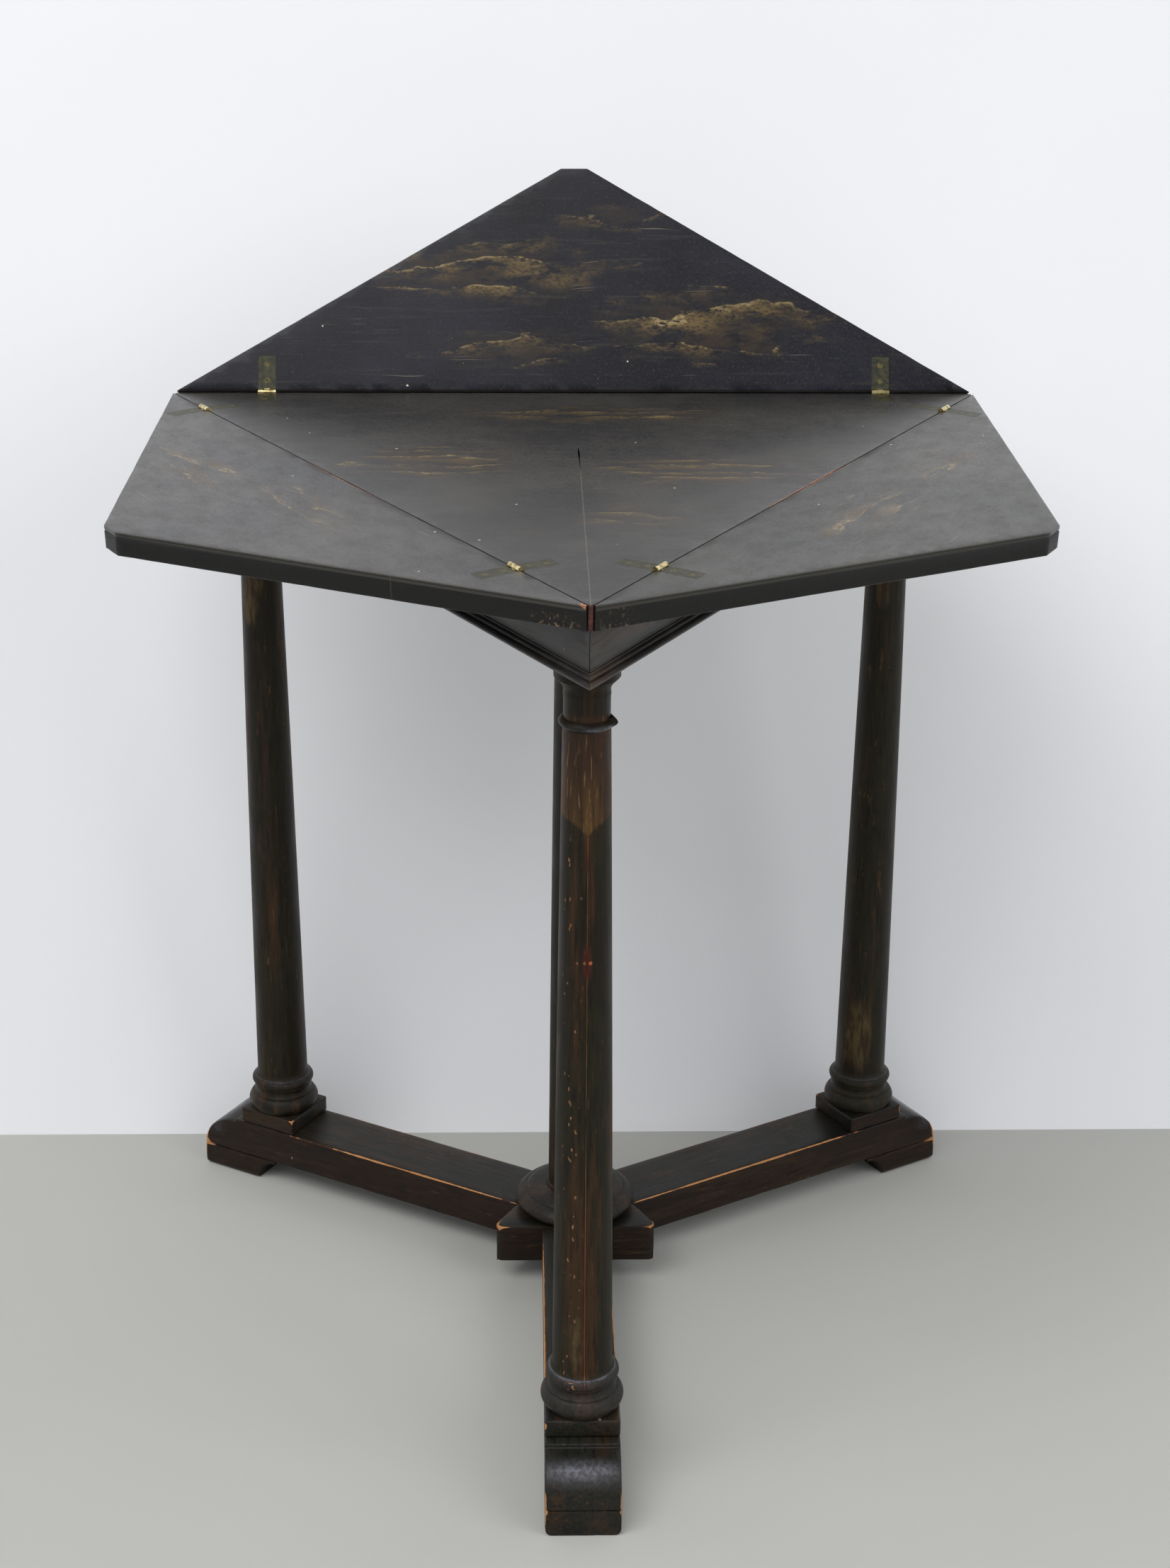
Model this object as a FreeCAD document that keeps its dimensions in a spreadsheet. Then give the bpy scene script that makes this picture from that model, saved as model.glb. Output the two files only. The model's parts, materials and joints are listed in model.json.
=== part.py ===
import FreeCAD, Part
import math
import os
import re
import Sketcher
from FreeCAD import Placement, Rotation, Vector

# Flip-top table: a triangular top on three turned legs and a centre column, with a leaf
# hinged to each of its sides. Folded, the leaves cover the top; open, they make a hexagon.
# Frame: origin on the floor under the pivot, +Z up, millimetres. The front leg stands
# toward -Y, the other two at 150 and 30 degrees from +X.
# The rear leaf is modelled standing up, leaning back; the two front leaves lie open.

LEG_ANGLES = {"front": 270, "left": 150, "right": 30}
SIDE_ANGLES = {"rear": 90, "left": 210, "right": 330}
ENDS = {"a": -1, "b": 1}
# Where a hinge's two screws stand, as shares of its reach.
HINGE_SCREW_SHARES = {"near": 0.32, "far": 0.77}

# Each size that can be chosen by itself, in millimetres or degrees.
SIZES = {
    # The whole table.
    "table_height": 740,
    # Top board and leaves.
    "top_side": 690,
    "board_thickness": 18,
    "top_corner_flat": 11.5,
    "leaf_tip_flat": 22.5,
    "seam_gap": 1,
    "leaf_side_gap": 1.2,
    "leaf_sag_angle": 2,
    "rear_lean_angle": 20.6,
    # Feet and stretcher arms.
    "pad_height": 22.5,
    "pad_length": 60,
    "pad_cove_radius": 20,
    "pad_toe_radius": 2,
    "arm_height": 34.5,
    "arm_width": 58,
    "foot_reach": 72.5,
    "roll_flat": 4,
    "quirk_depth": 3,
    "arm_tenon_length": 22,
    "arm_tenon_width": 24,
    "arm_tenon_height": 14,
    # Hub block.
    "hub_inradius": 42.5,
    "hub_corner_width": 13.2,
    # Plinths.
    "plinth_height": 15,
    # Leg turning, from the plinth upward.
    "base_torus_height": 15,
    "base_torus_radius": 32,
    "base_torus_bulge_depth": 3.5,
    "scotia_height": 10,
    "scotia_radius": 27,
    "scotia_depth": 1.2,
    "ring_height": 8,
    "ring_radius": 28.3,
    "ring_bulge_depth": 1.5,
    "shaft_cove_height": 7,
    "shaft_fillet_radius": 25,
    "shaft_bottom_radius": 23,
    "shaft_top_radius": 17,
    "neck_radius": 16.5,
    "neck_height": 24,
    "flare_height": 12,
    "flare_radius": 22.7,
    "flare_depth": 2.6,
    "abacus_radius": 23.5,
    "abacus_height": 13,
    "leg_foot_tenon_radius": 12,
    "leg_foot_tenon_length": 36,
    "leg_top_tenon_radius": 10,
    "leg_top_tenon_length": 21,
    # Applied ring round each neck.
    "neck_ring_height": 7,
    "neck_ring_radius": 20,
    # Centre column.
    "column_torus_height": 16,
    "column_torus_radius": 52,
    "column_torus_bulge_depth": 7,
    "column_dome_radius": 43,
    "column_dome_height": 5.5,
    "column_dome_bulge_depth": 1.2,
    "column_fillet_radius": 25,
    "column_fillet_height": 2,
    "column_shaft_bottom_radius": 23.2,
    "column_shaft_top_radius": 18,
    "column_seat_depth": 4,
    "column_foot_tenon_radius": 14,
    "column_foot_tenon_length": 30,
    "nut_pocket_radius": 13,
    "nut_pocket_depth": 18,
    # Frame under the top.
    "rail_setback": 12.2,
    "rail_height": 29.2,
    "rail_thickness": 16,
    "moulding_height": 10,
    "moulding_projection": 5,
    "moulding_groove_height": 1.5,
    "moulding_groove_floor": 0.4,
    "moulding_bead_height": 2.3,
    "moulding_bead_projection": 3,
    "moulding_bead_bulge_depth": 1,
    "moulding_quirk_height": 1.7,
    "moulding_quirk_floor": 1,
    "moulding_roll_bulge_depth": 1.8,
    "corner_block_depth": 72,
    "leg_corner_setback": 29,
    "bearer_thickness": 16,
    "bearer_gap": 0.3,
    # Swivel.
    "swivel_gap": 6.8,
    "disc_running_gap": 0.2,
    "disc_radius": 90,
    "pivot_radius": 5,
    "pivot_running_gap": 0.06,
    "pivot_head_radius": 12,
    "pivot_head_height": 4.8,
    "pivot_head_web": 3.2,
    "pivot_head_recess": 2,
    "pivot_end_length": 4,
    "washer_radius": 11,
    "washer_thickness": 1.6,
    "nut_corner_radius": 9.5,
    "nut_height": 8,
    # Screws of the swivel disc and the bearer.
    "disc_screw_circle_radius": 70,
    "disc_screw_length": 17,
    "bearer_screw_setback": 27,
    "bearer_screw_spacing": 36,
    "bearer_screw_length": 30,
    "wood_screw_radius": 1.8,
    "wood_screw_head_radius": 4,
    "wood_screw_head_height": 2.6,
    # Hinges.
    "hinge_axis_rise": 0.25,
    "hinge_width": 15,
    "hinge_reach": 31,
    "hinge_plate_thickness": 1.5,
    "hinge_barrel_radius": 2.6,
    "hinge_pin_radius": 1.2,
    "hinge_pin_running_gap": 0.05,
    "hinge_knuckle_gap": 0.2,
    "hinge_notch_gap": 0.5,
    "hinge_screw_radius": 1.3,
    "hinge_screw_head_radius": 2.6,
    "hinge_screw_head_height": 1.3,
    "hinge_screw_length": 12,
    "hinge_inset_rear": 81,
    "hinge_inset_side_back": 70,
    "hinge_inset_side_front": 97,
    # Clearance of a tenon, screw or plate in its hole, and how far a cut runs past a face.
    "fit_gap": 0.1,
    "hole_end_gap": 0.5,
    "overrun": 5,
}

# Sizes that follow from those above.
DERIVED = {
    "arm_top": "pad_height + arm_height",
    "roll_radius": "arm_height - quirk_depth",
    "plinth_width": "arm_width",
    "hub_face_width": "2 * hub_inradius * tan(60) - hub_corner_width",
    "leg_bottom": "arm_top + plinth_height",
    "board_bottom": "table_height - board_thickness",
    "frame_top": "board_bottom - swivel_gap",
    "frame_bottom": "frame_top - rail_height - moulding_height",
    "bearer_bottom": "frame_top - bearer_thickness",
    "half_side": "top_side / 2",
    "seam_inradius": "half_side * tan(30)",
    "axis_height": "table_height + hinge_axis_rise",
    "rail_inradius": "seam_inradius - rail_setback",
    "rail_inner": "rail_inradius - rail_thickness",
    "moulding_outer": "rail_inradius + moulding_projection",
    "inner_corner_radius": "rail_inner / sin(30)",
    "corner_block_inner_radius": "inner_corner_radius - corner_block_depth",
    "leg_radius": "inner_corner_radius - leg_corner_setback",
    "foot_radius": "leg_radius + foot_reach",
    "bearer_screw_place_radius": "leg_radius - bearer_screw_setback",
    "disc_bottom": "frame_top + disc_running_gap",
    "head_bottom": "disc_bottom + pivot_head_web + disc_running_gap",
    "column_top": "bearer_bottom + column_seat_depth",
    "washer_bottom": "column_top - washer_thickness",
    "nut_bottom": "washer_bottom - nut_height",
    "pivot_bottom": "nut_bottom - pivot_end_length",
    "plate_top": "-hinge_axis_rise",
    "plate_bottom": "-hinge_axis_rise - hinge_plate_thickness",
    "notch_reach": "hinge_barrel_radius + hinge_notch_gap",
    "notch_half": "hinge_width / 2 + hinge_notch_gap",
    "recess_half": "hinge_width / 2 + fit_gap",
    "knuckle_side": "hinge_width / 3 / 2",
    "leaf_side_drop": "leaf_side_gap / 2 / cos(30)",
}

doc = FreeCAD.newDocument("flip_top_table")
sheet = doc.addObject("Spreadsheet::Sheet", "Sizes")
for row, (size_name, size_value) in enumerate(SIZES.items(), start=1):
    cell = f"B{row}"
    sheet.set(f"A{row}", size_name)
    sheet.set(cell, str(size_value))
    sheet.setAlias(cell, size_name)
doc.recompute()


def formula(text):
    """Write a size, or a sum of sizes, as an expression on the sheet."""
    def word(match):
        name = match.group(0)
        if name in DERIVED:
            return "(" + formula(DERIVED[name]) + ")"
        if name in SIZES:
            return "Sizes." + name
        return name
    return re.sub(r"[a-z_]+", word, str(text))


def value(text):
    """The number that an expression comes to."""
    return float(sheet.evalExpression(formula(text)))


def bind(thing, prop, text):
    """Tie a property to the sheet."""
    thing.setExpression(prop, formula(text))


def turned(angle, outward, sideways):
    """Plan point at a distance out along an angle and to the left of it."""
    x = f"({outward}) * cos({angle}) - ({sideways}) * sin({angle})"
    y = f"({outward}) * sin({angle}) + ({sideways}) * cos({angle})"
    return x, y


def seat_on(thing, angle=0, base=("0", "0")):
    """Stand a finished piece at a plan point, turned about the vertical."""
    thing.Placement = Placement(Vector(0, 0, 0), Rotation(Vector(0, 0, 1), angle))
    for axis, text in zip("xy", base):
        if text != "0":
            bind(thing, "Placement.Base." + axis, text)


def seat_on_seam(thing, side, tilt=0):
    """Put a piece made in the hinge's own frame on its seam, opened up by tilt degrees.

    In the hinge's frame X runs along the seam, Y points away from the top and Z is up.
    """
    angle = SIDE_ANGLES[side]
    turn = Rotation(Vector(0, 0, 1), angle - 90)
    thing.Placement = Placement(Vector(0, 0, 0), turn * Rotation(Vector(1, 0, 0), tilt))
    x, y = turned(angle, "seam_inradius", "0")
    bind(thing, "Placement.Base.x", x)
    bind(thing, "Placement.Base.y", y)
    bind(thing, "Placement.Base.z", "axis_height")


def leaf_tilt(side):
    """Degrees that a leaf stands above flat-open in the modelled pose."""
    if side == "rear":
        return 90 - value("rear_lean_angle")
    return -value("leaf_sag_angle")


def hinge_places(side):
    """Place of each of the two hinges along a seam, in the hinge's frame."""
    if side == "rear":
        return {"a": "hinge_inset_rear - half_side", "b": "half_side - hinge_inset_rear"}
    front = {"left": "a", "right": "b"}[side]
    insets = {end: "hinge_inset_side_back" for end in ENDS}
    insets[front] = "hinge_inset_side_front"
    return {end: f"{sign} * (half_side - {insets[end]})" for end, sign in ENDS.items()}


# Sketches and solids


def new_body(label):
    body = doc.addObject("PartDesign::Body", label)
    body.Label = label
    return body


def new_sketch(body, plane, offset="0"):
    """Empty sketch on one of the body's own planes, moved along its normal by offset."""
    sketch = body.newObject("Sketcher::SketchObject", body.Name + "_sketch")
    origin_plane = [item for item in body.Origin.OriginFeatures if item.Role == plane][0]
    sketch.AttachmentSupport = [(origin_plane, "")]
    sketch.MapMode = "FlatFace"
    if offset != "0":
        bind(sketch, "AttachmentOffset.Base.z", offset)
    return sketch


def hold(sketch, kind, geometry, end, text):
    """Hold one coordinate of a point at a size from the sheet."""
    number = sketch.addConstraint(
        Sketcher.Constraint(kind, -1, 1, geometry, end, value(text)))
    bind(sketch, f"Constraints[{number}]", text)


def arc_between(start, finish, radius, turn):
    """Circle arc from start to finish that bends left or right on its way."""
    chord = finish - start
    reach = math.sqrt(max(radius ** 2 - (chord.Length / 2) ** 2, 0))
    left = Vector(-chord.y, chord.x, 0).normalize()
    centre = (start + finish) / 2 + left * (reach if turn == "left" else -reach)
    first, last = (start, finish) if turn == "left" else (finish, start)
    angles = [math.atan2(point.y - centre.y, point.x - centre.x) for point in (first, last)]
    if angles[1] < angles[0]:
        angles[1] += 2 * math.pi
    return Part.ArcOfCircle(Part.Circle(centre, Vector(0, 0, 1), radius), *angles)


def draw(sketch, outline):
    """Draw a closed outline. A point is (x, y), or (x, y, radius, turn) after an arc."""
    count = len(outline)
    spots = [Vector(value(point[0]), value(point[1]), 0) for point in outline]
    ends = []
    for index, point in enumerate(outline):
        start = spots[index - 1]
        finish = spots[index]
        if len(point) == 2:
            number = sketch.addGeometry(Part.LineSegment(start, finish))
            ends.append((number, 1, 2))
        else:
            arc = arc_between(start, finish, value(point[2]), point[3])
            number = sketch.addGeometry(arc)
            ends.append((number, 1, 2) if point[3] == "left" else (number, 2, 1))
            radius = sketch.addConstraint(Sketcher.Constraint("Radius", number, arc.Radius))
            bind(sketch, f"Constraints[{radius}]", point[2])
    for index, point in enumerate(outline):
        number, start_end, finish_end = ends[index]
        hold(sketch, "DistanceX", number, finish_end, point[0])
        hold(sketch, "DistanceY", number, finish_end, point[1])
        follower = ends[(index + 1) % count]
        sketch.addConstraint(
            Sketcher.Constraint("Coincident", number, finish_end, follower[0], follower[1]))


def draw_circle(sketch, x, y, radius):
    """Draw a circle held at a plan point."""
    centre = Vector(value(x), value(y), 0)
    number = sketch.addGeometry(Part.Circle(centre, Vector(0, 0, 1), value(radius)))
    hold(sketch, "DistanceX", number, 3, x)
    hold(sketch, "DistanceY", number, 3, y)
    size = sketch.addConstraint(Sketcher.Constraint("Radius", number, value(radius)))
    bind(sketch, f"Constraints[{size}]", radius)


def rectangle(x_low, x_high, y_low, y_high):
    return [(x_low, y_low), (x_high, y_low), (x_high, y_high), (x_low, y_high)]


def turned_rectangle(angle, out_low, out_high, side_low, side_high):
    """Plan rectangle whose sides run along and across an angle."""
    corners = rectangle(out_low, out_high, side_low, side_high)
    return [turned(angle, outward, sideways) for outward, sideways in corners]


def pad(body, sketch, length, both_ways=False):
    """Raise a sketch into a solid."""
    feature = body.newObject("PartDesign::Pad", body.Name + "_pad")
    feature.Profile = sketch
    bind(feature, "Length", length)
    feature.Midplane = both_ways
    body.Tip = feature
    return feature


def pocket(body, sketch, depth, upward=False):
    """Cut a sketch into the solid: against the sketch's normal, or along it."""
    feature = body.newObject("PartDesign::Pocket", body.Name + "_pocket")
    feature.Profile = sketch
    bind(feature, "Length", depth)
    feature.Reversed = upward
    body.Tip = feature
    return feature


def turn_solid(body, outline):
    """Turn an outline, drawn as (radius, height), about the vertical."""
    sketch = new_sketch(body, "XZ_Plane")
    draw(sketch, outline)
    feature = body.newObject("PartDesign::Revolution", body.Name + "_turning")
    feature.Profile = sketch
    feature.ReferenceAxis = (sketch, ["V_Axis"])
    feature.Angle = 360
    body.Tip = feature
    return feature


def around_thrice(body, feature):
    """Repeat a feature at the three arms."""
    pattern = body.newObject("PartDesign::PolarPattern", body.Name + "_three")
    pattern.Originals = [feature]
    axis = [item for item in body.Origin.OriginFeatures if item.Role == "Z_Axis"][0]
    pattern.Axis = (axis, [""])
    pattern.Angle = 360
    pattern.Occurrences = 3
    body.Tip = pattern
    return pattern


def rod(name, radius, length, base, along):
    """Round bar from a point, along a direction."""
    bar = doc.addObject("Part::Cylinder", name)
    bind(bar, "Radius", radius)
    bind(bar, "Height", length)
    bar.Placement = Placement(Vector(0, 0, 0), Rotation(Vector(0, 0, 1), along))
    for axis, text in zip("xyz", base):
        bind(bar, "Placement.Base." + axis, text)
    return bar


def taper(name, low_radius, high_radius, length, base):
    """Upright cone from a point."""
    cone = doc.addObject("Part::Cone", name)
    bind(cone, "Radius1", low_radius)
    bind(cone, "Radius2", high_radius)
    bind(cone, "Height", length)
    for axis, text in zip("xyz", base):
        bind(cone, "Placement.Base." + axis, text)
    return cone


def block(name, x_low, x_high, y_low, y_high, z_low, z_high):
    """Box between two corners."""
    box = doc.addObject("Part::Box", name)
    bounds = ((x_low, x_high), (y_low, y_high), (z_low, z_high))
    for axis, prop, (low, high) in zip("xyz", ("Length", "Width", "Height"), bounds):
        bind(box, prop, f"({high}) - ({low})")
        bind(box, "Placement.Base." + axis, low)
    return box


def joined(label, shapes):
    whole = doc.addObject("Part::MultiFuse", label)
    whole.Label = label
    whole.Shapes = shapes
    return whole


def cut_from(label, solid, tools):
    """Take tools out of a solid."""
    cutter = joined(label + "_tools", tools) if len(tools) > 1 else tools[0]
    whole = doc.addObject("Part::Cut", label)
    whole.Label = label
    whole.Base = solid
    whole.Tool = cutter
    return whole


def group(label, pieces):
    """Alike fasteners as one group of separate solids."""
    whole = doc.addObject("Part::Compound", label)
    whole.Label = label
    whole.Links = pieces
    return whole


UP = Vector(0, 0, 1)
DOWN = Vector(0, 0, -1)
ALONG_SEAM = Vector(1, 0, 0)
parts = []


def keep(piece):
    """Add a finished piece to those that are written."""
    parts.append(piece)
    return piece


# Underframe


def stretcher_arm(name):
    """Arm from the hub to the foot, with the foot's roll on its end."""
    body = new_body("stretcher_" + name)
    sketch = new_sketch(body, "XZ_Plane")
    quirk_top = "foot_radius - roll_radius - roll_flat"
    draw(sketch, [
        ("hub_inradius", "pad_height"),
        ("foot_radius", "pad_height"),
        ("foot_radius - roll_radius", "pad_height + roll_radius", "roll_radius", "left"),
        (quirk_top, "pad_height + roll_radius"),
        (quirk_top, "arm_top"),
        ("hub_inradius", "arm_top"),
    ])
    pad(body, sketch, "arm_width", both_ways=True)
    tenon = new_sketch(body, "XZ_Plane")
    middle = "pad_height + arm_height / 2"
    draw(tenon, rectangle(
        "hub_inradius - arm_tenon_length", "hub_inradius",
        middle + " - arm_tenon_height / 2", middle + " + arm_tenon_height / 2"))
    pad(body, tenon, "arm_tenon_width", both_ways=True)
    hole = new_sketch(body, "XY_Plane", "arm_top")
    draw_circle(hole, "leg_radius", "0", "leg_foot_tenon_radius + fit_gap")
    pocket(body, hole, "leg_foot_tenon_length - plinth_height + hole_end_gap")
    seat_on(body, angle=LEG_ANGLES[name])
    return keep(body)


def foot_pad(name):
    """Block under the foot, hollowed on its inner end."""
    body = new_body("foot_pad_" + name)
    sketch = new_sketch(body, "XZ_Plane")
    inner = "foot_radius - pad_length"
    draw(sketch, [
        ("foot_radius - pad_toe_radius", "0"),
        ("foot_radius", "pad_toe_radius", "pad_toe_radius", "left"),
        ("foot_radius", "pad_height"),
        (inner + " - pad_cove_radius", "pad_height"),
        (inner + " - pad_cove_radius", "pad_cove_radius"),
        (inner, "0", "pad_cove_radius", "right"),
    ])
    pad(body, sketch, "arm_width", both_ways=True)
    seat_on(body, angle=LEG_ANGLES[name])
    return keep(body)


def hub_block():
    """Three-sided block that the arms and the centre column are tenoned into."""
    body = new_body("hub_block")
    sketch = new_sketch(body, "XY_Plane", "pad_height")
    outline = []
    for angle in sorted(LEG_ANGLES.values()):
        outline.append(turned(angle, "hub_inradius", "-hub_face_width / 2"))
        outline.append(turned(angle, "hub_inradius", "hub_face_width / 2"))
    draw(sketch, outline)
    draw_circle(sketch, "0", "0", "column_foot_tenon_radius + fit_gap")
    pad(body, sketch, "arm_height")
    mortise = new_sketch(body, "XZ_Plane", "hub_inradius - arm_tenon_length - hole_end_gap")
    middle = "pad_height + arm_height / 2"
    half_width = "arm_tenon_width / 2 + fit_gap"
    half_height = "(arm_tenon_height / 2 + fit_gap)"
    draw(mortise, rectangle(
        "-(" + half_width + ")", half_width,
        middle + " - " + half_height, middle + " + " + half_height))
    cut = pocket(body, mortise, "arm_tenon_length + hole_end_gap + overrun", upward=True)
    around_thrice(body, cut)
    return keep(body)


def plinth(name):
    """Square block between the arm and the leg."""
    body = new_body("plinth_" + name)
    sketch = new_sketch(body, "XY_Plane", "arm_top")
    draw(sketch, rectangle(
        "leg_radius - plinth_width / 2", "leg_radius + plinth_width / 2",
        "-plinth_width / 2", "plinth_width / 2"))
    draw_circle(sketch, "leg_radius", "0", "leg_foot_tenon_radius + fit_gap")
    pad(body, sketch, "plinth_height")
    seat_on(body, angle=LEG_ANGLES[name])
    return keep(body)


def bulge_radius(bulge, height):
    """Radius of the arc that stands out by bulge over a height."""
    return f"((({bulge})^2 + (({height}) / 2)^2) / (2 * ({bulge})))"


def capital_outline(top):
    """Outline of neck, flare and abacus, from the shoulder at the shaft's top upward."""
    abacus = f"({top}) - abacus_height"
    flare = f"({abacus}) - flare_height"
    chord = "sqrt(flare_height^2 + (flare_radius - neck_radius)^2)"
    return [
        ("neck_radius", f"({flare}) - neck_height"),
        ("neck_radius", flare),
        ("flare_radius", abacus, bulge_radius("flare_depth", chord), "right"),
        ("abacus_radius", abacus),
        ("abacus_radius", top),
    ]


def torus_outline(bottom, prefix):
    """Outline of the half-round at the foot of a turning, and the height of its top."""
    end = f"{prefix}_radius - {prefix}_bulge_depth"
    top = f"{bottom} + {prefix}_height"
    bend = bulge_radius(prefix + "_bulge_depth", prefix + "_height")
    return [(end, bottom), (end, top, bend, "left")], top


def base_outline():
    """Outline of a leg's torus, scotia and ring, from the bottom up to the shaft."""
    torus, torus_top = torus_outline("leg_bottom", "base_torus")
    scotia_top = torus_top + " + scotia_height"
    ring_top = scotia_top + " + ring_height"
    ring_end = "ring_radius - ring_bulge_depth"
    return [
        *torus,
        ("scotia_radius", torus_top),
        ("scotia_radius", scotia_top, bulge_radius("scotia_depth", "scotia_height"), "right"),
        (ring_end, scotia_top),
        (ring_end, ring_top, bulge_radius("ring_bulge_depth", "ring_height"), "left"),
    ], ring_top


def leg(name):
    """Turned leg with a tenon at each end."""
    body = new_body("leg_" + name)
    base, ring_top = base_outline()
    cove_width = "(shaft_fillet_radius - shaft_bottom_radius)"
    cove_chord = f"sqrt(shaft_cove_height^2 + {cove_width}^2)"
    shoulder = "frame_bottom - abacus_height - flare_height - neck_height"
    outline = [
        ("0", "leg_bottom - leg_foot_tenon_length"),
        ("leg_foot_tenon_radius", "leg_bottom - leg_foot_tenon_length"),
        ("leg_foot_tenon_radius", "leg_bottom"),
        *base,
        ("shaft_fillet_radius", ring_top),
        ("shaft_bottom_radius", ring_top + " + shaft_cove_height", cove_chord, "right"),
        ("shaft_top_radius", shoulder),
        *capital_outline("frame_bottom"),
        ("leg_top_tenon_radius", "frame_bottom"),
        ("leg_top_tenon_radius", "frame_bottom + leg_top_tenon_length"),
        ("0", "frame_bottom + leg_top_tenon_length"),
    ]
    turn_solid(body, outline)
    x, y = turned(LEG_ANGLES[name], "leg_radius", "0")
    seat_on(body, angle=LEG_ANGLES[name], base=(x, y))
    return keep(body)


def neck_ring(name, top, base):
    """Half-round strip bent round the neck, resting on the shoulder."""
    body = new_body("neck_ring_" + name)
    low = f"({top}) - abacus_height - flare_height - neck_height"
    bore = "neck_radius + fit_gap"
    rise = "neck_ring_radius - shaft_top_radius"
    turn_solid(body, [
        (bore, low),
        ("shaft_top_radius", low),
        ("shaft_top_radius", low + " + neck_ring_height",
         bulge_radius(rise, "neck_ring_height"), "left"),
        (bore, low + " + neck_ring_height"),
    ])
    seat_on(body, base=base)
    return keep(body)


def centre_column():
    """Turned column from the hub to the bearer, hollowed at the top for the nut."""
    body = new_body("centre_column")
    torus, torus_top = torus_outline("arm_top", "column_torus")
    dome_top = torus_top + " + column_dome_height"
    dome_chord = "sqrt(column_dome_height^2 + (column_dome_radius - column_fillet_radius)^2)"
    dome_bend = bulge_radius("column_dome_bulge_depth", dome_chord)
    outline = [
        ("0", "arm_top - column_foot_tenon_length"),
        ("column_foot_tenon_radius", "arm_top - column_foot_tenon_length"),
        ("column_foot_tenon_radius", "arm_top"),
        *torus,
        ("column_dome_radius", torus_top),
        ("column_fillet_radius", dome_top, dome_bend, "left"),
        ("column_fillet_radius", dome_top + " + column_fillet_height"),
        ("column_shaft_bottom_radius", dome_top + " + column_fillet_height"),
        ("column_shaft_top_radius", "column_top - abacus_height - flare_height - neck_height"),
        *capital_outline("column_top"),
        ("nut_pocket_radius", "column_top"),
        ("nut_pocket_radius", "column_top - nut_pocket_depth"),
        ("0", "column_top - nut_pocket_depth"),
    ]
    turn_solid(body, outline)
    return keep(body)


# Frame under the top


def mitred(body, inner):
    """Cut both ends of a frame member where its neighbours meet it."""
    sketch = new_sketch(body, "XY_Plane", "frame_top + overrun")
    near = f"({inner}) * tan(60) / 2"
    far = "top_side"
    for sign in ("1", "-1"):
        draw(sketch, [
            (f"{sign} * {near}", f"{near} * tan(30)"),
            (f"{sign} * {far}", f"{near} * tan(30)"),
            (f"{sign} * {far}", f"{far} * tan(30)"),
        ])
    pocket(body, sketch, "rail_height + moulding_height + 2 * overrun")


def frame_rail(side):
    """Plain rail of the frame, mitred at its ends."""
    body = new_body("frame_rail_" + side)
    sketch = new_sketch(body, "YZ_Plane")
    draw(sketch, rectangle(
        "rail_inner", "rail_inradius", "frame_top - rail_height", "frame_top"))
    pad(body, sketch, "2 * moulding_outer * tan(60)", both_ways=True)
    mitred(body, "rail_inner")
    seat_on(body, angle=SIDE_ANGLES[side] - 90)
    return keep(body)


def frame_moulding(side):
    """Moulding under a rail: a groove, a small bead, a quirk and a large roll."""
    body = new_body("frame_moulding_" + side)
    sketch = new_sketch(body, "YZ_Plane")
    top = "frame_bottom + moulding_height"
    bead_top = top + " - moulding_groove_height"
    bead_low = bead_top + " - moulding_bead_height"
    roll_top = bead_low + " - moulding_quirk_height"
    groove_face = "rail_inradius + moulding_groove_floor"
    quirk_face = "rail_inradius + moulding_quirk_floor"
    bead_face = "rail_inradius + moulding_bead_projection - moulding_bead_bulge_depth"
    roll_face = "moulding_outer - moulding_roll_bulge_depth"
    draw(sketch, [
        ("rail_inner", "frame_bottom"),
        (roll_face, "frame_bottom"),
        (roll_face, roll_top,
         bulge_radius("moulding_roll_bulge_depth", f"{roll_top} - frame_bottom"), "left"),
        (quirk_face, roll_top),
        (quirk_face, bead_low),
        (bead_face, bead_low),
        (bead_face, bead_top,
         bulge_radius("moulding_bead_bulge_depth", "moulding_bead_height"), "left"),
        (groove_face, bead_top),
        (groove_face, top),
        ("rail_inner", top),
    ])
    pad(body, sketch, "2 * moulding_outer * tan(60)", both_ways=True)
    mitred(body, "rail_inner")
    seat_on(body, angle=SIDE_ANGLES[side] - 90)
    return keep(body)


def corner_block(name):
    """Block in a corner of the frame that takes the leg's top tenon."""
    body = new_body("corner_block_" + name)
    sketch = new_sketch(body, "XY_Plane", "frame_bottom")
    half = "(inner_corner_radius - corner_block_inner_radius) * tan(30)"
    draw(sketch, [
        ("inner_corner_radius", "0"),
        ("corner_block_inner_radius", half),
        ("corner_block_inner_radius", f"-({half})"),
    ])
    pad(body, sketch, "bearer_bottom - frame_bottom")
    socket = new_sketch(body, "XY_Plane", "frame_bottom")
    draw_circle(socket, "leg_radius", "0", "leg_top_tenon_radius + fit_gap")
    pocket(body, socket, "leg_top_tenon_length + hole_end_gap", upward=True)
    pilots = new_sketch(body, "XY_Plane", "bearer_bottom")
    for sign in ENDS.values():
        draw_circle(pilots, "bearer_screw_place_radius", f"{sign} * bearer_screw_spacing / 2",
                    "wood_screw_radius + fit_gap")
    pocket(body, pilots, "bearer_screw_length - bearer_thickness + hole_end_gap")
    seat_on(body, angle=LEG_ANGLES[name])
    return keep(body)


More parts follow.
